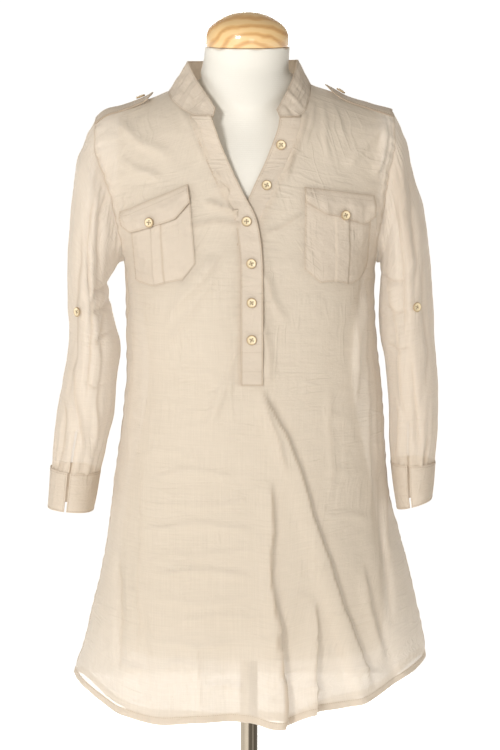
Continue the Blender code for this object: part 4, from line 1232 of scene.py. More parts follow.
@dataclass(frozen=True)
class Block:
    """The blouse's form on the dress form: where its cloth lies at any place."""

    armpit_z: float = 1.172
    fall_z: float = 1.20
    fall_power: float = 2.2
    fall_root: float = 0.625
    ridge_body_z: float = 1.35
    slit_z: float = 1.0405
    neck_front_z: float = 1.3497
    neck_back_z: float = 1.3760
    band_width: float = 0.026
    band_lap: float = 0.005
    layer: float = 0.0020
    neck_share: float = 0.7
    crowd: float = 1.25
    spread_power: float = 0.9
    settle_rounds: int = 12
    curves: dict = field(default_factory=dict)

    def __post_init__(self) -> None:
        """Make the smooth curves from the tables."""
        for place, name in enumerate(("left", "right", "front", "back", "power"), start=1):
            self.curves[name] = Curve(BODY, place)
        for name, table in (("ridge", RIDGE), ("over", OVER_EDGE), ("under", UNDER_SEAM),
                            ("hem_front", HEM_FRONT), ("hem_back", HEM_BACK)):
            self.curves[name] = Curve(table, 1)

    def ridge_z(self, x: Array) -> Array:
        """The height of the shoulder ridge."""
        return self.curves["ridge"](np.abs(x))

    def body(self, z: Array) -> tuple[Array, ...]:
        """The side edges, the depths and the squareness at a height."""
        return tuple(self.curves[name](z) for name in ("left", "right", "front", "back", "power"))

    def fall(self, x: Array, z: Array) -> Array:
        """The share of the depth that is left on the way up to the shoulder ridge."""
        share = np.clip((z - self.fall_z) / (self.ridge_z(x) - self.fall_z), 0.0, 1.0)
        return np.maximum(1.0 - share ** self.fall_power, 0.0) ** self.fall_root

    @staticmethod
    def folds(table: Table, x: Array, z: Array) -> Array:
        """How far the large folds lift the cloth.

        Args:
            table: the folds.
            x: places across.
            z: heights.

        Returns:
            The lift at each place.
        """
        total = np.zeros(np.broadcast(x, z).shape)
        for x0, z0, x1, z1, left, right, height in table:
            share = np.maximum((z0 - z) / (z0 - z1), 0.0)
            offset = x - (x0 + (x1 - x0) * share)
            width = np.where(offset < 0.0, left, right)
            total = total + height * np.minimum(share, 1.1) ** 1.3 * np.exp(-((offset / width) ** 2))
        return total

    def cloth(self, x: Array, z: Array, back: bool = False) -> Array:
        """Points of the middle of the cloth.

        Args:
            x: places across.
            z: heights.
            back: whether they lie on the back.

        Returns:
            The points.
        """
        left, right, front, rear, power = self.body(z)
        across = np.minimum(np.abs(x - (left + right) / 2) / ((right - left) / 2), 1.0)
        depth = (1.0 - across ** power) ** (1.0 / power) * self.fall(x, z)
        lift = self.folds(FOLDS_BACK if back else FOLDS_FRONT, x, z) * np.minimum(depth * 2.0, 1.0)
        y = rear * depth + lift if back else -front * depth - lift
        return np.stack(np.broadcast_arrays(x, y, z), axis=-1)

    def spot(self, x: float, z: float, back: bool = False) -> Array:
        """One point of the middle of the cloth."""
        return self.cloth(np.array(x), np.array(z), back)

    def edge_x(self, z: Array, share: Array) -> Array:
        """Where a share of the half girth lies.

        Args:
            z: heights.
            share: shares, from -1 at the left side to 1 at the right.

        Returns:
            The x of each.
        """
        left, right, _, _, power = self.body(z)
        across = np.sign(share) * np.abs(np.sin(share * math.pi / 2)) ** (2.0 / power)
        return (left + right) / 2 + (right - left) / 2 * across

    def side_share(self, z: Array, x: Array) -> Array:
        """The share of the half girth at which an x lies.

        Args:
            z: heights.
            x: places across.

        Returns:
            The shares, from -1 to 1.
        """
        left, right, _, _, power = self.body(z)
        across = (x - (left + right) / 2) / ((right - left) / 2)
        return np.sign(across) * np.arcsin(np.minimum(np.abs(across), 1.0) ** (power / 2.0)) / (math.pi / 2)

    def levels(self, skirt: int, chest: int, upper: int) -> list[tuple[str, float]]:
        """The rows of a panel, from the hem to the shoulder.

        Args:
            skirt: how many lie below the slit's end.
            chest: how many lie from there to the armpit.
            upper: how many lie above the armpit.

        Returns:
            Each row's zone and its level in that zone.
        """
        rows = [("skirt", row / skirt) for row in range(skirt)]
        rows += [("chest", row / chest) for row in range(chest)]
        return rows + [("upper", 1.0 - (1.0 - row / upper) ** self.crowd) for row in range(upper + 1)]

    def front_edge(self, side: int, level: float) -> Array:
        """The inner edge of a half front: up beside the placket, then out along the neckline.

        Args:
            side: -1 for the left half and 1 for the right.
            level: the row's level above the armpit.

        Returns:
            The edge's x and z.
        """
        corner = 1.0 - (1.0 - self.neck_share) ** self.crowd
        if level > corner + 1e-9:
            return along(NECK_LEFT if side < 0 else NECK_RIGHT, np.array([(level - corner) / (1.0 - corner)]))[0]
        z = self.armpit_z + (self.neck_front_z - self.armpit_z) * level / corner
        x = self.curves["over"](z) - self.band_width + self.band_lap if side < 0 else self.curves["under"](z)
        return np.array([float(x), z])

    def hem(self, x: Array, level: float, back: bool) -> Array:
        """The height of a skirt row at each x."""
        low = self.curves["hem_back" if back else "hem_front"](x)
        return low + (self.slit_z - low) * level


BLOCK = Block()


@dataclass
class Panels:
    """The front and the back, from hem to shoulder."""

    cloth: Cloth
    finishes: Finishes
    skirt_rows: int = 128
    chest_rows: int = 42
    upper_rows: int = 80
    half_columns: int = 116
    slit_cells: int = 8
    hem_rows: int = 3
    hem_gap: float = 0.0009
    uneven: float = 0.0016
    held_cells: float = 5.0
    ridge: Colour = (0.0065, 0.0022, 0.0009)
    pucker: Station = (0.016, 0.0008)
    seam_mark: Station = (0.0022, 0.45)

    def front_net(self) -> Net:
        """Lay out the front.

        Returns:
            The front's net, with the cells of the neck slit left out.
        """
        rows = BLOCK.levels(self.skirt_rows, self.chest_rows, self.upper_rows)
        per_side, slit = self.half_columns, self.slit_cells
        column = np.arange(2 * per_side + slit + 1)
        left, right = column <= per_side, column >= per_side + slit
        share = np.where(left, (per_side - column) / per_side, (column - per_side - slit) / per_side)
        share = np.clip(share, 0.0, 1.0)
        side = np.where(left, -1, 1)
        points = np.zeros((len(rows), len(column), 3))
        for place, (zone, level) in enumerate(rows):
            if zone == "upper":
                x, z = np.zeros(len(column)), np.full(len(column), BLOCK.armpit_z + level * 0.1)
                spread = np.sin(share * math.pi / 2) ** BLOCK.spread_power
                for this_side, here in ((-1, left), (1, right)):
                    inner = BLOCK.front_edge(this_side, level)
                    arm, neck = (ARM_LEFT, NECK_LEFT) if this_side < 0 else (ARM_RIGHT, NECK_RIGHT)
                    outer = along(arm, np.array([level]))[0]
                    x[here] = inner[0] + (outer[0] - inner[0]) * spread[here]
                    z[here] = inner[1] + (outer[1] - inner[1]) * spread[here]
                    top = np.array(neck[-1]) + (np.array(arm[-1]) - neck[-1]) * spread[here][:, None]
                    z[here] += (BLOCK.ridge_z(top[:, 0]) - top[:, 1]) * level
            else:
                x = np.zeros(len(column))
                z = np.full(len(column), BLOCK.slit_z)
                if zone == "chest":
                    z += (BLOCK.armpit_z - BLOCK.slit_z) * level
                left_x = float(BLOCK.curves["over"](z[0])) - BLOCK.band_width + BLOCK.band_lap
                right_x = float(BLOCK.curves["under"](z[0]))
                within = left_x + (right_x - left_x) * (column - per_side) / slit
                for _ in range(BLOCK.settle_rounds):
                    if zone == "skirt":
                        z = BLOCK.hem(x, level, False)
                    start = BLOCK.side_share(z, np.where(left, left_x, right_x))
                    x = BLOCK.edge_x(z, start + (side - start) * share)
                    x = np.where(left | right, x, within)
            points[place] = BLOCK.cloth(x, z)
        present = np.ones((len(rows) - 1, len(column) - 1), dtype=bool)
        present[self.skirt_rows:, per_side:per_side + slit] = False
        return Net(points, present=present)

    def back_net(self) -> Net:
        """Lay out the back.

        Returns:
            The back's net.
        """
        rows = BLOCK.levels(self.skirt_rows, self.chest_rows, self.upper_rows)
        per_side = self.half_columns
        share = np.arange(-per_side, per_side + 1) / per_side
        points = np.zeros((len(rows), len(share), 3))
        for place, (zone, level) in enumerate(rows):
            if zone == "upper":
                x, z = np.zeros(len(share)), np.zeros(len(share))
                for side, here in ((-1, share < 0), (1, share >= 0)):
                    neck = (NECK_LEFT if side < 0 else NECK_RIGHT)[-1]
                    outer = along(ARM_LEFT if side < 0 else ARM_RIGHT, np.array([level]))[0]
                    reach = np.sin(np.abs(share[here]) * math.pi / 2) ** BLOCK.spread_power
                    split = abs(neck[0]) / abs(outer[0])
                    centre_z = BLOCK.armpit_z + (BLOCK.neck_back_z - BLOCK.armpit_z) * level
                    neck_z = BLOCK.armpit_z + (neck[1] - BLOCK.armpit_z) * level
                    x[here] = side * abs(outer[0]) * reach
                    inside = centre_z + (neck_z - centre_z) * np.minimum(reach / split, 1.0) ** 2
                    outside = neck_z + (outer[1] - neck_z) * (reach - split) / (1 - split)
                    if level == 1.0:
                        outside = BLOCK.ridge_z(x[here])
                    z[here] = np.where(reach < split, inside, outside)
            else:
                x = np.zeros(len(share))
                z = np.full(len(share), BLOCK.slit_z)
                if zone == "chest":
                    z += (BLOCK.armpit_z - BLOCK.slit_z) * level
                for _ in range(BLOCK.settle_rounds):
                    if zone == "skirt":
                        z = BLOCK.hem(x, level, True)
                    x = BLOCK.edge_x(z, share)
            points[place] = BLOCK.cloth(x, z, back=True)
        return Net(points[:, ::-1])

    def creased_net(self, net: Net, creases: Sequence[Crease], seed: float) -> Net:
        """Add the creases and the cloth's own unevenness to a panel.

        Args:
            net: the smooth panel.
            creases: its creases.
            seed: which unevenness to use.

        Returns:
            The creased net.
        """
        x, z = net.points[:, :, 0], net.points[:, :, 2]
        row, column = np.arange(net.points.shape[0]), np.arange(net.points.shape[1])
        beside = np.minimum(np.minimum(column, column[::-1]) / self.held_cells, 1.0)
        below = np.minimum(row[::-1] / self.held_cells, 1.0)
        free = beside[None, :] * below[:, None]
        soft = ripple(net.points, (0.060, 0.060, 0.030), seed) * 0.6
        soft += ripple(net.points, (0.022, 0.022, 0.011), seed + 9) * 0.4
        from_left = net.run(1)
        from_seam = np.minimum(from_left, from_left[:, -1:] - from_left)
        seam_turn = row[:, None] * 0.9
        ridge_far, ridge_width, ridge_height = self.ridge
        seam = np.exp(-(((from_seam - ridge_far) / ridge_width) ** 2)) * ridge_height
        puckered = np.sin(seam_turn + 1.4 * np.sin(seam_turn * 0.37)) * self.pucker[1]
        seam += np.exp(-((from_seam / self.pucker[0]) ** 2)) * puckered
        made = net.lifted((creased(creases, x, z) + soft * self.uneven + seam) * free)
        made.points[:, :, 0] += leaned(creases, x, z) * free
        double = np.exp(-((from_seam / self.seam_mark[0]) ** 2)) * self.seam_mark[1]
        made.shade = np.maximum(fold_shading(creases, x, z), double)
        made.settle()
        return made

    def build(self) -> tuple[Net, Net]:
        """Make both panels.

        Returns:
            The nets of the front and the back, without their hems.
        """
        front = self.creased_net(self.front_net(), FRONT_CREASES, 3.1)
        back = self.creased_net(self.back_net(), BACK_CREASES, 17.7)
        for name, net, flat, area in (
            ("front", front, (0.53, 0.79), 0.300), ("back", back, (0.52, 0.83), 0.325),
        ):
            piece = self.cloth.piece(f"{name}_panel", net, self.finishes.voile)
            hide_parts(name)
            turned = Net(net.points[:self.hem_rows + 1]).lifted(-self.hem_gap)
            hem = self.cloth.piece(f"{name}_hem", turned, self.finishes.double)
        return front, back


@dataclass
class Sleeve:
    """One sleeve, from the armhole to the cuff, with its slit and its cuff."""

    cloth: Cloth
    finishes: Finishes
    name: str
    side: int
    rings: Table
    cuff_rings: Table
    creases: Sequence[Crease]
    slit_share: float
    steps: int = 12
    slit_half_turn: float = 0.045
    slit_length: float = 0.052
    gathers: int = 17
    gather_depth: float = 0.0011
    gather_length: float = 0.040
    pucker_depth: float = 0.0007
    held_rows: float = 9.0
    head_rows: float = 10.0
    head_mark: Station = (1.6, 0.5)
    # Width and darkness of the painted shadow along the slit.
    slit_shade: Station = (0.013, 0.5)
    slit_open: float = 0.30
    behind_shift: Colour = (0.985, 0.006, 0.016)
    cuff_points: int = 121
    cuff_rows: int = 17
    cuff_lift: float = 0.0012
    cuff_swell: float = 0.0006
    cuff_thickness: float = 0.0011

    def ring(self, row: Sequence[float], angles: Array) -> Array:
        """Points round the sleeve, from the underarm round the front.

        Args:
            row: the ring's sizes.
            angles: where the points lie round it.

        Returns:
            The points.
        """
        outer_x, outer_z, inner_x, inner_z, half, mid = row
        share = (1 + np.cos(angles)) / 2
        return np.stack([outer_x + (inner_x - outer_x) * share, mid - half * np.sin(angles),
                         outer_z + (inner_z - outer_z) * share], axis=-1)

    def net(self, edge: Array) -> Net:
        """Lay out the sleeve from its armhole edge.

        Args:
            edge: the armhole's points, from the armpit up the front and down the back.

        Returns:
            The sleeve's net, first row at the cuff.
        """
        angles = np.linspace(0, 2 * math.pi, len(edge), endpoint=False)
        first = self.ring(self.rings[0], angles)
        knots = np.array([edge, edge * 0.45 + first * 0.55] + [self.ring(row, angles) for row in self.rings])
        slopes = np.gradient(knots, axis=0)
        rows = []
        for place in range(len(knots) - 1):
            rise = knots[place + 1] - knots[place]
            for t in np.arange(self.steps) / self.steps:
                rows.append(knots[place] + t * slopes[place]
                            + t * t * (3 * rise - 2 * slopes[place] - slopes[place + 1])
                            + t ** 3 * (slopes[place] + slopes[place + 1] - 2 * rise))
        rows.append(knots[-1])
        points = np.array(rows)[::-1]
        if self.side > 0:
            points = points[:, ::-1]
        return Net(points, wrap=True)

    def dressed(self, net: Net) -> Net:
        """Add the sleeve's creases, gathers and slit.

        Args:
            net: the smooth sleeve.

        Returns:
            The dressed net.
        """
        points, count = net.points, net.points.shape[1]
        x, z = points[:, :, 0], points[:, :, 2]
        narrower, outward, lower = self.behind_shift
        x_behind, z_behind = x * narrower + self.side * outward, z + lower
        forward = np.clip(0.5 - 1.2 * net.normals[:, :, 1], 0.0, 1.0)
        front, behind = creased(self.creases, x, z), creased(self.creases, x_behind, z_behind)
        turn = np.linspace(0, 2 * math.pi, count, endpoint=False)[None, :]
        foot = points[0, :, 2].mean()
        near = np.exp(-np.maximum(z - foot, 0.0) / self.gather_length)
        wave = np.sin(turn * self.gathers + 2.2 * np.sin(turn * 3 + self.side) + z * 25)
        soft = ripple(points, (0.030, 0.050, 0.045), 5.0 + self.side * 2) * 0.0016
        soft += ripple(points, (0.010, 0.016, 0.014), 8.0 + self.side * 2) * 0.0004
        soft += ripple(points, (0.0075, 0.0200, 0.1100), 12.0 + self.side * 2) * 0.0012
        from_head = np.arange(len(points))[::-1, None]
        seam = np.clip(from_head / self.held_rows, 0.0, 1.0)
        head = np.exp(-((from_head - self.head_rows) / self.held_rows) ** 2)
        pucker = np.sin(turn * 34 + 3 * np.sin(turn * 5)) * self.pucker_depth * head
        folds = front * forward + behind * (1 - forward)
        made = net.lifted((folds + soft + wave * self.gather_depth * near + pucker) * seam)

        dark = fold_shading(self.creases, x, z) * forward
        dark += fold_shading(self.creases, x_behind, z_behind) * (1 - forward)
        by_head = np.exp(-((from_head / self.head_mark[0]) ** 2)) * self.head_mark[1]
        cells = np.arange(count) + 0.5 - count * (self.slit_share if self.side < 0 else 1.0 - self.slit_share)
        # Painted shadow down the slit: partly its doubled edge, partly the gap and the sleeve's back lying in
        # shade.
        slit_shadow = np.exp(-((cells / (count * self.slit_shade[0])) ** 2))[None, :] * self.slit_shade[1]
        slit_shadow = slit_shadow * (points[:, 0, 2] < foot + self.slit_length)[:, None]
        made.shade = np.maximum(np.maximum(dark, by_head), slit_shadow)
        rows_cut = int((made.points[:, 0, 2] < foot + self.slit_length).sum())
        made.present = np.ones((len(points) - 1, count), dtype=bool)
        made.present[:rows_cut, np.abs(cells) < count * self.slit_half_turn / math.pi * self.slit_open] = False
        return made

    def cuff(self) -> Net:
        """Lay out the cuff, a band from one side of its slit round to the other.

        Returns:
            The cuff's net.
        """
        first = 2 * math.pi * self.slit_share + self.slit_half_turn
        angles = np.linspace(first, first + 2 * (math.pi - self.slit_half_turn), self.cuff_points)
        table = [(place, *row) for place, row in enumerate(self.cuff_rings)]
        curves = [Curve(table, column) for column in range(1, len(table[0]))]
        levels = np.linspace(0, len(table) - 1, self.cuff_rows)
        points = np.array([self.ring([float(curve(level)) for curve in curves], angles) for level in levels])
        net = Net(points[::-self.side])
        height = np.linspace(0, 1, self.cuff_rows)[::self.side, None]
        soft = ripple(net.points, (0.020, 0.030, 0.060), 31.0 + self.side) * 0.0015
        return net.lifted(self.cuff_lift + soft + self.cuff_swell * np.sin(height * math.pi))

    def build(self, edge: Array) -> Net:
        """Make the sleeve and its cuff.

        Args:
            edge: the armhole's points.

        Returns:
            The cuff's net.
        """
        net = self.dressed(self.net(edge))
        sleeve = self.cloth.piece(f"sleeve_{self.name}_cloth", net, self.finishes.voile)
        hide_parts(f"sleeve_{self.name}")
        # Edges darkened: turned-in double cloth and painted shadow.
        cuff_net = self.cuff().bordered(0.0010, 0.28)
        cuff = self.cloth.piece(f"cuff_{self.name}_band", cuff_net, self.finishes.double, self.cuff_thickness)
        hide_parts(f"cuff_{self.name}")
        return cuff_net


Edge = Callable[[Array], Array]


@dataclass
class NeckBands:
    """The placket's two bands and the collar."""

    cloth: Cloth
    finishes: Finishes
    foot_z: float = 1.0365
    thickness: float = 0.0009
    over_lift: float = 0.0017
    under_lift: float = -0.0014
    collar_columns: int = 220
    collar_rows: int = 26
    collar_thickness: float = 0.0012
    collar_ends: Station = (-0.0420, 0.0363)
    collar_back: Sequence[float] = (-0.0860, -0.0600, -0.0300, 0.0, 0.0280, 0.0520, 0.0680)
    collar_folds: Table = (
        (0.045, 0.006, 0.0014), (0.075, 0.007, -0.0016), (0.105, 0.006, 0.0018), (0.135, 0.006, -0.0012),
        (0.915, 0.008, 0.0015), (0.955, 0.006, -0.0012), (0.165, 0.006, 0.0012), (0.870, 0.009, -0.0010),
    )

    def band(self, left: Edge, right: Edge, lift: float, seed: float, free: float = 0.0) -> Net:
        """Lay out one band between two edges.

        Args:
            left: its left edge's x at each height.
            right: its right edge's x.
            lift: how far off the front it lies.
            seed: which unevenness to use.
            free: how far its right edge stands off.

        Returns:
            The band's net.
        """
        z = np.linspace(self.foot_z, BLOCK.neck_front_z, 190)
        share = np.linspace(0, 1, 15)
        x = left(z)[:, None] + (right(z) - left(z))[:, None] * share[None, :]
        net = Net(BLOCK.cloth(x, np.broadcast_to(z[:, None], x.shape)))
        cross = ripple(net.points, (0.030, 0.030, 0.0065), seed) * 0.0006
        loose = free * share[None, :] ** 2 * np.clip((z - 1.060) / 0.03, 0, 1)[:, None]
        return net.lifted(lift + cross + loose + ripple(net.points, (0.02, 0.02, 0.02), seed + 4) * 0.0004)

    def collar_base(self) -> Array:
        """Find the neckline that the collar stands on.

        Returns:
            Its points, from the left front end round the back.
        """
        ends = BLOCK.cloth(np.array(self.collar_ends), np.full(2, BLOCK.neck_front_z))
        left, right = ([BLOCK.spot(x, z) for x, z in line[:-1]] for line in (NECK_LEFT, NECK_RIGHT))
        left_side, right_side = (np.array([line[-1][0], 0.0, line[-1][1]]) for line in (NECK_LEFT, NECK_RIGHT))
        back = []
        for x in self.collar_back:
            neck = NECK_LEFT[-1] if x < 0 else NECK_RIGHT[-1]
            z = BLOCK.neck_back_z + (neck[1] - BLOCK.neck_back_z) * (abs(x) / abs(neck[0])) ** 2
            back.append(BLOCK.spot(x, z, back=True))
        return np.array([ends[0], *left, left_side, *back, right_side, *right[::-1], ends[1]])

    def collar(self) -> Net:
        """Lay out the standing collar.

        Returns:
            The collar's net.
        """
        share = np.linspace(0, 1, self.collar_columns)
        low = self.rounded(along(self.collar_base(), share))
        high = self.rounded(along(COLLAR_TOP, share))
        rise = np.linspace(0, 1, self.collar_rows)[:, None, None]
        points = low[None] + (high - low)[None] * rise
        net = Net(points[:, ::-1])
        height = np.linspace(0, 1, self.collar_rows)[:, None]
        wrinkles = ripple(net.points, (0.0085, 0.0085, 0.050), 41.0) * 0.0016
        wrinkles += ripple(net.points, (0.004, 0.004, 0.020), 44.0) * 0.0004
        turn = share[::-1][None, :]
        fold = np.zeros(net.points.shape[:2])
        for place, width, depth in self.collar_folds:
            fold += depth * np.exp(-((turn - place - 0.012 * height) / width) ** 2)
        return net.lifted((wrinkles + fold) * (0.35 + 0.65 * np.sin(height * math.pi * 0.9)))

    @staticmethod
    def rounded(line: Array, rounds: int = 14) -> Array:
        """A line with its corners eased, its ends kept.

        Args:
            line: the line's points.
            rounds: how often to ease it.

        Returns:
            The eased line.
        """
        for _ in range(rounds):
            line[1:-1] = line[1:-1] * 0.5 + (line[:-2] + line[2:]) * 0.25
        return line

    def build(self) -> tuple[Net, Net, Net]:
        """Make the bands and the collar.

        Returns:
            The nets of the over band, the under band and the collar.
        """
        over, under = BLOCK.curves["over"], BLOCK.curves["under"]
        width, lap = BLOCK.band_width, BLOCK.band_lap
        top = self.band(lambda z: over(z) - width, over, self.over_lift, 51.0, 0.0022)
        low = self.band(lambda z: under(z) - width, lambda z: under(z) + lap, self.under_lift, 57.0)
        collar = self.collar()
        for name, node, net, thickness, flat in (
            ("placket_over_band", "placket_over", top, self.thickness, (0.028, 0.345)),
            ("placket_under_band", "placket_under", low, self.thickness, (0.033, 0.345)),
            ("collar_band", "collar", collar, self.collar_thickness, (0.41, 0.036)),
        ):
            # Each band and the collar is darkened along its edges: turned-in double cloth and painted shadow.
            piece = self.cloth.piece(name, net.bordered(), self.finishes.double, thickness)
            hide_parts(node)
        return top, low, collar


@dataclass
class ChestPocket:
    """One chest pocket with its box pleat, and its flap."""

    cloth: Cloth
    finishes: Finishes
    side: str
    pocket: Table
    flap: Table
    pleat: Station
    seed: float
    columns: int = 72
    rows: int = 60
    flap_rows: int = 30
    lift: float = 0.0016
    pleat_rise: float = 0.0010
    pleat_edge: float = 0.016
    # How dark the pleat's left and right folds are painted.
    pleat_shades: Station = (0.22, 0.50)
    billow: float = 0.0018
    flap_lift: float = 0.0020
    flap_spring: float = 0.0036

    def patch(self, table: Table, rows: int) -> Net:
        """Lay a patch on the front.

        Args:
            table: its columns with their top and foot.
            rows: how many rows it has.

        Returns:
            The patch's net, on the front's surface.
        """
        table = np.array(table)
        u = np.linspace(0, 1, self.columns)
        top_x, top_z, foot_x, foot_z = (np.interp(u, table[:, 0], column) for column in table.T[1:])
        up = np.linspace(0, 1, rows)[:, None]
        x = foot_x[None] + (top_x - foot_x)[None] * up
        z = foot_z[None] + (top_z - foot_z)[None] * up
        return Net(BLOCK.cloth(x, z))

    def front_relief(self, net: Net) -> Array:
        """The relief of the front below a patch."""
        return creased(FRONT_CREASES, net.points[:, :, 0], net.points[:, :, 2]) * 0.8

    def build(self) -> tuple[Net, Net]:
        """Make the pocket and its flap.

        Returns:
            Their nets.
        """
        base = self.patch(self.pocket, self.rows)
        u = np.linspace(0, 1, self.columns)[None, :]
        up = np.linspace(0, 1, self.rows)[:, None]
        (first, last), edge = self.pleat, self.pleat_edge
        box = np.clip((u - first) / edge + 0.5, 0, 1) * np.clip((last - u) / edge + 0.5, 0, 1)
        loose = np.sin(u * math.pi) ** 0.7 * np.sin(up * math.pi) ** 0.6 * self.billow
        loose = loose + ripple(base.points, (0.020, 0.020, 0.030), self.seed) * 0.0013
        loose += ripple(base.points, (0.008, 0.008, 0.010), self.seed + 3) * 0.0004
        loose *= np.clip(np.minimum(up, np.minimum(u, 1 - u)) * 8, 0, 1)
        pocket = base.lifted(self.lift + box * self.pleat_rise + loose + self.front_relief(base))
        # Painted shadow along the pocket's edges and the pleat's two folds, stronger at the right fold, over cloth
        # lying double there.
        pocket.bordered(0.0008, 0.50)
        for line, dark in zip(self.pleat, self.pleat_shades):
            pocket.shade = np.maximum(pocket.shade, np.exp(-(((u - line) / 0.014) ** 2)) * dark)
        piece = self.cloth.piece(f"pocket_{self.side}_patch", pocket, self.finishes.double, 0.0004)
        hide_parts(f"pocket_{self.side}")

        base = self.patch(self.flap, self.flap_rows)
        up = np.linspace(0, 1, self.flap_rows)[:, None]
        free = np.clip((1.0 - up) * 2.2, 0, 1)
        curl = ripple(base.points, (0.014, 0.014, 0.030), self.seed + 6) * 0.0022 * free
        curl += ripple(base.points, (0.007, 0.007, 0.009), self.seed + 8) * 0.0006 * free
        flap = base.lifted(self.flap_lift + self.flap_spring * free + curl + self.front_relief(base))
        # Strong painted shadow round the flap's edges, over its turned-in double edge.
        flap.bordered(0.0009, 0.80)
        piece = self.cloth.piece(f"flap_{self.side}_cloth", flap, self.finishes.double, 0.0009)
        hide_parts(f"flap_{self.side}")
        return pocket, flap


@dataclass
class ShoulderStrap:
    """A strap from the sleeve seam along the shoulder to a blunt point."""

    cloth: Cloth
    finishes: Finishes
    side: str
    seam_x: float
    tip_x: float
    half: float = 0.0190
    point: float = 0.10
    free_share: float = 0.55
    free_lift: float = 0.0175
    rows: int = 60
    columns: int = 31

    def ridge_points(self, x: Array, y: Array) -> Array:
        """Points of the cloth near the shoulder ridge, by their place in plan.

        Args:
            x: places across.
            y: places from front to back.

        Returns:
            The points.
        """
        left, right, front, rear, power = BLOCK.body(np.array(BLOCK.ridge_body_z))
        across = np.abs(x - (left + right) / 2) / ((right - left) / 2)
        depth = np.where(y < 0, front, rear) * (1 - across ** power) ** (1 / power)
        share = (1.0 - (np.abs(y) / depth) ** (1 / BLOCK.fall_root)) ** (1 / BLOCK.fall_power)
        return np.stack([x, y, BLOCK.fall_z + (BLOCK.ridge_z(x) - BLOCK.fall_z) * share], axis=-1)

    def build(self) -> Net:
        """Make the strap.

        Returns:
            Its net.
        """
        share = np.linspace(0, 1, self.rows)[:, None]
        across = np.linspace(-1, 1, self.columns)[None, :]
        reach = share - self.point * np.abs(across) ** 1.5 * share ** 6
        x = self.seam_x + (self.tip_x - self.seam_x) * reach
        y = np.broadcast_to(across * self.half, x.shape)
        points = self.ridge_points(x, y)
        lift = BLOCK.layer + self.free_lift * np.maximum(share - self.free_share, 0.0) ** 2
        net = Net(points[:, ::-1] if self.tip_x > self.seam_x else points)
        soft = ripple(net.points, (0.016, 0.014, 0.05), 71.0) * 0.0012
        # Painted shadow along the strap's edges, over its turned-in double edge.
        net = net.lifted(lift + soft).bordered(0.0014, 0.75)
        piece = self.cloth.piece(f"epaulette_{self.side}_strap", net, self.finishes.double, 0.0011)
        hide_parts(f"epaulette_{self.side}")
        return net


# Stitching


@dataclass
class StitchTool:
    """Rows of short stitches that follow lines on the cloth."""

    cloth: Cloth
    thread: Material
    spacing: float = 0.0027
    length: float = 0.0019
    thickness: float = 0.00042
    seed: int = 11
    sockets: dict = field(default_factory=dict)

    def tree(self) -> bpy.types.NodeTree:
        """Build the node tree that lays the stitches.

        Returns:
            The tree.
        """
        tree = bpy.data.node_groups.new("stitch_rows", "GeometryNodeTree")
        tree.interface.new_socket("Geometry", in_out="OUTPUT", socket_type="NodeSocketGeometry")
        for name, kind in (("Geometry", "Geometry"), ("Spacing", "Float"), ("Length", "Float"),
                           ("Thickness", "Float"), ("Seed", "Int"), ("Thread", "Material")):
            socket = tree.interface.new_socket(name, in_out="INPUT", socket_type=f"NodeSocket{kind}")
            self.sockets[name] = socket.identifier
        nodes = {name: tree.nodes.new(kind) for name, kind in (
            ("given", "NodeGroupInput"), ("curve", "GeometryNodeMeshToCurve"),
            ("resample", "GeometryNodeResampleCurve"), ("bead", "GeometryNodeMeshUVSphere"),
            ("tangent", "GeometryNodeInputTangent"), ("align", "FunctionNodeAlignRotationToVector"),
            ("vary", "FunctionNodeRandomValue"), ("longer", "ShaderNodeMath"), ("scale", "ShaderNodeCombineXYZ"),
            ("place", "GeometryNodeInstanceOnPoints"), ("real", "GeometryNodeRealizeInstances"),
            ("finish", "GeometryNodeSetMaterial"), ("result", "NodeGroupOutput"),
        )}
        for name, setting, value in (("resample", "mode", "LENGTH"), ("align", "axis", "Z"),
                                     ("vary", "data_type", "FLOAT"), ("longer", "operation", "MULTIPLY")):
            setattr(nodes[name], setting, value)
        for name, place, value in (("bead", "Segments", 5), ("bead", "Rings", 4), ("bead", "Radius", 0.5),
                                   ("vary", 2, 0.86), ("vary", 3, 1.08)):
            nodes[name].inputs[place].default_value = value
        for source, output, target, place in (
            ("given", "Geometry", "curve", "Mesh"), ("curve", "Curve", "resample", "Curve"),
            ("given", "Spacing", "resample", "Length"), ("resample", "Curve", "place", "Points"),
            ("bead", "Mesh", "place", "Instance"), ("tangent", 0, "align", "Vector"),
            ("align", 0, "place", "Rotation"), ("given", "Seed", "vary", "Seed"),
            ("given", "Length", "longer", 0), ("vary", 1, "longer", 1),
            ("given", "Thickness", "scale", "X"), ("given", "Thickness", "scale", "Y"),
            ("longer", 0, "scale", "Z"), ("scale", 0, "place", "Scale"), ("place", 0, "real", 0),
            ("real", 0, "finish", "Geometry"), ("given", "Thread", "finish", "Material"),
            ("finish", 0, "result", 0),
        ):
            tree.links.new(nodes[source].outputs[output], nodes[target].inputs[place])
        return tree

    def sew(self, name: str, paths: Sequence[Array]) -> Piece:
        """Lay stitches along lines.

        Args:
            name: the piece's name.
            paths: the lines.

        Returns:
            The stitches as one plain mesh.
        """
        points, edges = [], []
        for path in paths:
            start = len(points)
            points += path.tolist()
            edges += [(place, place + 1) for place in range(start, len(points) - 1)]
        guide = bpy.data.meshes.new(f"{name}_guide")
        guide.from_pydata(points, edges, [])
        item = bpy.data.objects.new(name, guide)
        bpy.context.scene.collection.objects.link(item)
        modifier = item.modifiers.new("stitches", "NODES")
        modifier.node_group = bpy.data.node_groups.get("stitch_rows") or self.tree()
        for socket, value in (("Spacing", self.spacing), ("Length", self.length),
                              ("Thickness", self.thickness), ("Seed", self.seed), ("Thread", self.thread)):
            modifier[self.sockets[socket]] = value
        graph = bpy.context.evaluated_depsgraph_get()
        made = bpy.data.meshes.new_from_object(item.evaluated_get(graph), depsgraph=graph)
        item.modifiers.clear()
        item.data = made
        made.name = name
        made.shade_smooth()
        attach(item, self.cloth.root)
        LOG.info("%s: %d faces", name, len(made.polygons))
        return item


ALL_ROUND = ("left", "foot", "right", "top")


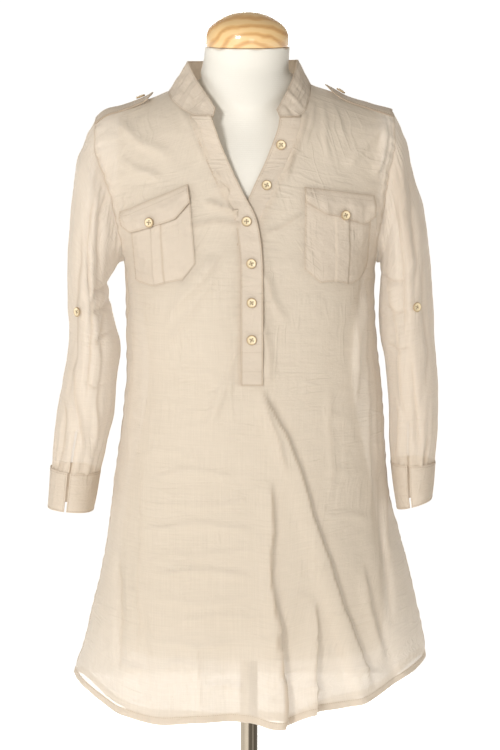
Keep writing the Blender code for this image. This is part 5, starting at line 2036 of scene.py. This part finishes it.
def outline(net: Net, inset: float, lift: float, edges: Sequence[str] = ALL_ROUND) -> list[Array]:
    """Rows of stitches that keep inside the edges of a piece.

    Args:
        net: the piece's net.
        inset: how far in from each edge.
        lift: how far off the cloth.
        edges: which edges.

    Returns:
        One line an edge.
    """
    paths = []
    for edge in edges:
        axis = 0 if edge in ("left", "right") else 1
        side = net.points[0] if axis else net.points[:, 0]
        size = np.linalg.norm(np.diff(side, axis=0), axis=1).sum()
        trim = min(inset / max(size, NEXT_TO_NOTHING), 0.2)
        kept = [station for station in net.inset(edge, inset) if trim <= station[axis] <= 1 - trim]
        paths.append(net.path(kept, lift))
    return paths


# Turned and drawn things


def poured(work: bmesh.types.BMesh, name: str) -> Mesh:
    """A plain mesh with a form's faces turned outwards.

    Args:
        work: the form, which is used up.
        name: the mesh's name.

    Returns:
        The mesh.
    """
    bmesh.ops.recalc_face_normals(work, faces=work.faces)
    mesh = bpy.data.meshes.new(name)
    work.to_mesh(mesh)
    work.free()
    return mesh


def turned(name: str, profile: Sequence[Station], sides: int, x_mid: float = 0.0) -> Mesh:
    """Turn a closed form on a lathe.

    Args:
        name: the mesh's name.
        profile: radius and height from the foot to the top, on the axis at both ends.
        sides: how many sides it has.
        x_mid: the axis's x.

    Returns:
        The mesh.
    """
    work = bmesh.new()
    angles = [2 * math.pi * step / sides for step in range(sides)]
    rings = []
    for radius, z in profile:
        rings.append([work.verts.new((x_mid + radius * math.cos(angle), radius * math.sin(angle), z))
                      for angle in (angles if radius else angles[:1])])
    for low, high in zip(rings, rings[1:]):
        for step in range(sides):
            after = (step + 1) % sides
            corners = [low[step % len(low)], low[after % len(low)]]
            corners += [high[after % len(high)], high[step % len(high)]]
            work.faces.new(list(dict.fromkeys(corners)))
    return poured(work, name)


@dataclass
class Buttons:
    """Twelve four-hole buttons with their thread."""

    cloth: Cloth
    finishes: Finishes
    radius: float = 0.0060
    thick: float = 0.0022
    sides: int = 40
    hole_radius: float = 0.00092
    hole_spread: float = 0.0021
    well: float = 0.63
    profile: tuple[Station, ...] = (
        (0.0, 0.0), (0.84, 0.0), (0.95, 0.16), (1.0, 0.45), (0.985, 0.78), (0.93, 0.97), (0.86, 1.0),
        (0.78, 0.93), (0.70, 0.74), (0.60, 0.66), (0.30, 0.63), (0.0, 0.63),
    )

    def blank(self) -> Mesh:
        """Make one button lying flat, with its underside at zero.

        Returns:
            The button's mesh, with its radius share on a map.
        """
        profile = [(self.radius * share, self.thick * height) for share, height in self.profile]
        body = bpy.data.objects.new("button_blank", turned("button_blank", profile, self.sides))
        work = bmesh.new()
        for turn in range(4):
            angle = math.pi / 4 + turn * math.pi / 2
            made = bmesh.ops.create_cone(work, cap_ends=True, segments=12, radius1=self.hole_radius,
                                         radius2=self.hole_radius, depth=self.thick * 3)
            away = (self.hole_spread * math.cos(angle), self.hole_spread * math.sin(angle), 0.0)
            bmesh.ops.translate(work, verts=made["verts"], vec=away)
        drill = bpy.data.objects.new("drill", poured(work, "drill"))
        for item in (body, drill):
            bpy.context.scene.collection.objects.link(item)
        modifier = body.modifiers.new("holes", "BOOLEAN")
        modifier.object = drill
        modifier.operation = "DIFFERENCE"
        modifier.solver = "EXACT"
        graph = bpy.context.evaluated_depsgraph_get()
        made = bpy.data.meshes.new_from_object(body.evaluated_get(graph), depsgraph=graph)
        for item in (body, drill):
            bpy.data.objects.remove(item, do_unlink=True)
        layer = made.uv_layers.new(name="turn")
        for loop in made.loops:
            spot = made.vertices[loop.vertex_index].co
            layer.data[loop.index].uv = (math.hypot(spot.x, spot.y) / self.radius, 0.5)
        return made

    def place(self, name: str, blank: Mesh, point: Array, normal: Array, turn: float) -> list[Array]:
        """Sew one button on.

        Args:
            name: the solid that it stands for.
            blank: the button's mesh.
            point: the middle of its underside.
            normal: the way that it faces, at length 1.
            turn: how far it is turned, in radians.

        Returns:
            The two bars of its thread, as short lines.
        """
        side = np.cross(np.array([0.0, 0.0, 1.0]), normal)
        side /= np.linalg.norm(side)
        up = np.cross(normal, side)
        side, up = side * math.cos(turn) + up * math.sin(turn), up * math.cos(turn) - side * math.sin(turn)
        mesh = blank.copy()
        mesh.name = f"{name}_shell"
        spots = np.array([vertex.co for vertex in mesh.vertices])
        placed = point + spots[:, :1] * side + spots[:, 1:2] * up + spots[:, 2:] * normal
        mesh.vertices.foreach_set("co", placed.reshape(-1))
        item = self.cloth.place(f"{name}_shell", mesh, self.finishes.shell, 38.0)
        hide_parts(name)
        share = np.linspace(-1, 1, 9)[:, None]
        reach = share * (self.hole_spread * 0.7071)
        height = self.thick * self.well + 0.00035 * (1 - share ** 2) - np.maximum(np.abs(share) - 0.8, 0) * 0.004
        return [point + reach * side + reach * sign * up + height * normal for sign in (1, -1)]


def tubes(name: str, lines: Sequence[Array], radius: float, sides: int = 6) -> Mesh:
    """Round tubes with closed ends along lines.

    Args:
        name: the mesh's name.
        lines: the lines' points.
        radius: the tubes' radius.
        sides: how many sides they have.

    Returns:
        The mesh.
    """
    work = bmesh.new()
    for line in lines:
        tangents = np.gradient(line, axis=0)
        tangents /= np.linalg.norm(tangents, axis=1, keepdims=True)
        start = np.cross(tangents[0], np.array([0.3, 0.2, 1.0]))
        rings = []
        for point, tangent in zip(line, tangents):
            start = start - tangent * np.dot(start, tangent)
            start /= np.linalg.norm(start)
            other = np.cross(tangent, start)
            rings.append([work.verts.new(point + radius * (start * math.cos(a) + other * math.sin(a)))
                          for a in np.linspace(0, 2 * math.pi, sides, endpoint=False)])
        for low, high in zip(rings, rings[1:]):
            for step in range(sides):
                after = (step + 1) % sides
                work.faces.new((low[step], low[after], high[after], high[step]))
        work.faces.new(reversed(rings[0]))
        work.faces.new(rings[-1])
    return poured(work, name)


# The dress form


@dataclass
class DressForm:
    """The limbless form with its cap, pole and base."""

    cloth: Cloth
    finishes: Finishes
    cap_x: float = -0.0019
    pole_radius: float = 0.0108
    pole_low: float = 0.0423
    pole_high: float = 0.7047
    pole_ease: float = 0.0006
    sides: int = 112
    chest_swell: float = 0.016
    chest_z: float = 1.305
    chest_spread: Station = (0.085, 0.058)
    cap_profile: tuple[Station, ...] = metres(
        (0, 14284), (488, 14284), (497, 14289), (501, 14300), (501, 14350), (500, 14390), (496, 14422),
        (488, 14452), (478, 14480), (465, 14506), (446, 14533), (420, 14560), (388, 14584), (350, 14608),
        (302, 14634), (250, 14657), (195, 14676), (140, 14690), (70, 14699), (0, 14701),
    )
    base_profile: tuple[Station, ...] = metres(
        (0, 0), (1695, 0), (1722, 8), (1737, 26), (1740, 60), (1738, 92), (1722, 117), (1690, 133), (1450, 152),
        (1200, 180), (850, 208), (500, 240), (360, 262), (280, 300), (250, 350), (240, 410), (232, 420), (0, 420),
    )

    def skin(self) -> Piece:
        """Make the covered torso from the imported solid, smoothed.

        Returns:
            The piece.
        """
        work = bmesh.new()
        work.from_mesh(bpy.data.objects["form_torso"].data)
        bmesh.ops.remove_doubles(work, verts=work.verts, dist=0.00002)
        bmesh.ops.join_triangles(work, faces=work.faces, angle_face_threshold=0.6, angle_shape_threshold=0.9)
        wide, high = self.chest_spread
        for vert in work.verts:
            if vert.co.y < 0:
                near = math.exp(-((vert.co.x / wide) ** 2) - ((vert.co.z - self.chest_z) / high) ** 2)
                vert.co.y -= self.chest_swell * near
        piece = self.cloth.place("form_skin", poured(work, "form_skin"), self.finishes.cover, 80.0)
        smoother = piece.modifiers.new("smooth", "SUBSURF")
        smoother.levels = 2
        smoother.render_levels = 2
        return piece

    def build(self) -> None:
        """Make the form, its cap, its pole and its base."""
        skin = self.skin()
        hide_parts("form_torso")
        low, high, radius, ease = self.pole_low, self.pole_high, self.pole_radius, self.pole_ease
        pole = ((0.0, low), (radius - ease, low), (radius, low + ease), (radius, high - ease),
                (radius - ease, high), (0.0, high))
        wood, chrome, enamel = self.finishes.wood, self.finishes.chrome, self.finishes.stand
        for name, node, slot, profile, x_mid, finish, sharp in (
            ("neck_cap_turned", "neck_cap", "varnished_wood", self.cap_profile, self.cap_x, wood, 50.0),
            ("pole_tube", "pole", "chrome", pole, 0.0, chrome, 40.0),
            ("stand_base_plate", "stand_base", "stand_paint", self.base_profile, 0.0, enamel, 40.0),
        ):
            piece = self.cloth.place(name, turned(name, profile, self.sides, x_mid), finish, sharp)
            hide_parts(node)


# The studio


class Lamp(Enum):
    """The studio's lamps: place, size, power and colour."""

    KEY = ((-2.2, -4.3, 2.8), 1.0, 153.0, (0.99, 0.995, 1.0))
    FILL = ((1.1, -5.2, 1.9), 1.2, 17.0, (1.0, 0.98, 0.94))
    BEHIND = ((0.0, 3.6, 1.2), 3.0, 135.0, (1.0, 1.0, 1.0))


@dataclass
class Studio:
    """A pale floor, soft lamps and the camera."""

    aim: Colour = (0.0012, 0.0, 1.034)
    distance: float = 6.0
    elevation: float = 7.0
    lens: float = 240.0
    floor_half: float = 70.0
    sky: float = 0.30

    def build(self) -> None:
        """Make the floor, the lamps and the camera."""
        scene = bpy.context.scene
        mesh = bpy.data.meshes.new("floor")
        signs = ((-1, -1), (1, -1), (1, 1), (-1, 1))
        mesh.from_pydata([(x * self.floor_half, y * self.floor_half, 0.0) for x, y in signs], [], [(0, 1, 2, 3)])
        floor = bpy.data.objects.new("floor", mesh)
        scene.collection.objects.link(floor)
        paint = Paint("pale_floor")
        far = paint.node("ShaderNodeVectorMath", {0: paint.place()}, "Value", operation="LENGTH")
        mesh.materials.append(paint.finish(paint.coat("pale_floor", {
            "Base Color": (0.93, 0.93, 0.93, 1.0), "Roughness": 0.9, "Specular IOR Level": 0.0,
            "Emission Strength": 1.0,
            "Emission Color": paint.blend(far.band(1.2, 2.6), (0.34, 0.32, 0.285), (0.80, 0.80, 0.80)),
        })))
        world = bpy.data.worlds.new("studio")
        world.use_nodes = True
        backdrop = world.node_tree.nodes["Background"]
        backdrop.inputs["Color"].default_value = (1.0, 0.925, 0.81, 1.0)
        backdrop.inputs["Strength"].default_value = self.sky
        scene.world = world
        for lamp in Lamp:
            place, size, power, colour = lamp.value
            light = bpy.data.lights.new(lamp.name.lower(), "AREA")
            light.size = size
            light.energy = power
            light.color = colour
            item = bpy.data.objects.new(lamp.name.lower(), light)
            item.location = place
            item.rotation_euler = (Vector(self.aim) - Vector(place)).to_track_quat("-Z", "Y").to_euler()
            scene.collection.objects.link(item)
        lens = bpy.data.cameras.new("camera")
        lens.sensor_fit = "VERTICAL"
        lens.sensor_height = 36.0
        lens.lens = self.lens
        camera = bpy.data.objects.new("camera", lens)
        tilt = math.radians(self.elevation)
        away = Vector((0.0, -self.distance * math.cos(tilt), self.distance * math.sin(tilt)))
        camera.location = Vector(self.aim) + away
        camera.rotation_euler = (math.pi / 2 - tilt, 0.0, 0.0)
        scene.collection.objects.link(camera)
        scene.camera = camera
        scene.view_settings.view_transform = "Standard"


# Everything in order

PLACKET_BUTTONS = (
    ("button_1", 0.0376, 1.3174, -1.0), ("button_2", 0.0207, 1.2710, -1.0), ("button_3", -0.0028, 1.2288, 1.0),
    ("button_4", 0.0027, 1.1799, 1.0), ("button_5", 0.0031, 1.1343, 1.0), ("button_6", 0.0031, 1.0907, 1.0),
    ("button_flap_l", -0.1139, 1.2262, 2.9), ("button_flap_r", 0.1104, 1.2345, 2.9),
)
TAB_RING = 4
STRAP_BUTTON = 7 / 9


def unit(way: Array) -> Array:
    """A direction at length 1."""
    return way / np.linalg.norm(way)


def surface_normal(x: float, z: float, step: float = 0.004) -> Array:
    """The way that the front faces at a place."""
    across = BLOCK.spot(x + step, z) - BLOCK.spot(x - step, z)
    return unit(np.cross(across, BLOCK.spot(x, z + step) - BLOCK.spot(x, z - step)))


def sew_buttons(cloth: Cloth, finishes: Finishes, straps: dict[str, Net]) -> None:
    """Sew on every button.

    Args:
        cloth: what puts pieces in the scene.
        finishes: the finishes.
        straps: the shoulder straps' nets by the name of their button.
    """
    maker = Buttons(cloth, finishes)
    blank = maker.blank()
    bars = []
    for place, (name, x, z, layers) in enumerate(PLACKET_BUTTONS):
        normal = surface_normal(x, z)
        point = BLOCK.spot(x, z) + normal * (layers * BLOCK.layer + 0.0013)
        bars += maker.place(name, blank, point, normal, place * 0.37)
    for name, table, side, turn in (
        ("button_tab_l", SLEEVE_LEFT, -1, 0.66), ("button_tab_r", SLEEVE_RIGHT, 1, 0.60),
    ):
        outer_x, outer_z, inner_x, inner_z, half, mid = table[TAB_RING]
        angle = math.pi * turn
        share = (1 + math.cos(angle)) / 2
        point = np.array([outer_x + (inner_x - outer_x) * share, mid - half * math.sin(angle),
                          outer_z + (inner_z - outer_z) * share])
        normal = unit(np.array([side * -math.cos(angle) / (abs(inner_x - outer_x) / 2),
                                -math.sin(angle) / half, 0.0]))
        bars += maker.place(name, blank, point + normal * 0.0011, normal, 0.3)
    for name, net in straps.items():
        point = net.at(np.array([STRAP_BUTTON]), np.array([0.5]))[0]
        rows, columns = net.points.shape[:2]
        normal = unit(net.normals[int(STRAP_BUTTON * (rows - 1)), columns // 2])
        bars += maker.place(name, blank, point + normal * 0.0015, normal, 0.6)
    threads = cloth.place("button_threads", tubes("button_threads", bars, 0.00026), finishes.button_thread)


def armhole(front: Net, back: Net, upper: int, front_column: int, back_column: int) -> Array:
    """The armhole's edge, from the armpit up the front and down the back.

    Args:
        front: the front's net.
        back: the back's net.
        upper: how many rows lie above the armpit.
        front_column: the front's outer column.
        back_column: the back's outer column.

    Returns:
        The edge's points.
    """
    rows = upper + 1
    return np.concatenate([front.points[-rows:, front_column], back.points[-2:-rows:-1, back_column]])


def main() -> None:
    """Build and dress every piece in order."""
    logging.basicConfig(level=logging.INFO, format="%(message)s")
    Studio().build()
    finishes = Finishes()
    cloth = Cloth("root")
    DressForm(cloth, finishes).build()
    panels = Panels(cloth, finishes)
    front, back = panels.build()
    stitches = StitchTool(cloth, finishes.thread)
    sleeves = (
        Sleeve(cloth, finishes, "l", -1, SLEEVE_LEFT, CUFF_LEFT, SLEEVE_LEFT_CREASES, 0.281),
        Sleeve(cloth, finishes, "r", 1, SLEEVE_RIGHT, CUFF_RIGHT, SLEEVE_RIGHT_CREASES, 0.208),
    )
    for sleeve, columns in zip(sleeves, ((0, -1), (-1, 0))):
        cuff = sleeve.build(armhole(front, back, panels.upper_rows, *columns))
        stitches.sew(f"cuff_{sleeve.name}_stitches", outline(cuff, 0.0022, 0.0007))
    over, under, collar = NeckBands(cloth, finishes).build()
    stitches.sew("band_stitches", [
        *outline(over, 0.0018, 0.0006, ("left", "right", "foot")),
        over.path([(0.053, 0.07), (0.053, 0.93)], 0.0006), over.path([(0.125, 0.07), (0.125, 0.93)], 0.0006),
        *outline(under, 0.0030, 0.0006, ("left", "right")),
    ])
    stitches.sew("collar_stitches", outline(collar, 0.0022, 0.0008))
    for side, pocket, flap, pleat, seed in (
        ("l", POCKET_LEFT, FLAP_LEFT, (0.34, 0.52), 61.0), ("r", POCKET_RIGHT, FLAP_RIGHT, (0.48, 0.68), 67.0),
    ):
        pocket_net, flap_net = ChestPocket(cloth, finishes, side, pocket, flap, pleat, seed).build()
        stitches.sew(f"pocket_{side}_stitches", [
            *outline(pocket_net, 0.0018, 0.0004, ("left", "foot", "right")), *outline(flap_net, 0.0022, 0.0006),
            *outline(flap_net, 0.0070, 0.0006, ("top",)),
        ])
    straps = {
        "button_strap_l": ShoulderStrap(cloth, finishes, "l", -0.1815, -0.1120).build(),
        "button_strap_r": ShoulderStrap(cloth, finishes, "r", 0.1700, 0.0890).build(),
    }
    strap_rows = [path for net in straps.values() for path in outline(net, 0.0024, 0.0008)]
    stitches.sew("strap_stitches", strap_rows)
    rows = front.points.shape[0] - 1
    start = (panels.skirt_rows + panels.chest_rows) / rows
    hem = (panels.hem_rows - 0.3) / rows
    seams = []
    for net in (front, back):
        seams.append(net.path([(hem, 0.004), (hem, 0.996)], 0.0003, 500))
        for share in (0.018, 0.982):
            seams.append(net.path([(start + 0.005, share), (0.985, share)], 0.0003, 300))
            seams.append(net.path([(0.02, share), (start - 0.01, share)], 0.0003, 400))
    stitches.sew("seam_stitches", seams)
    sew_buttons(cloth, finishes, straps)


if __name__ == "__main__":
    main()
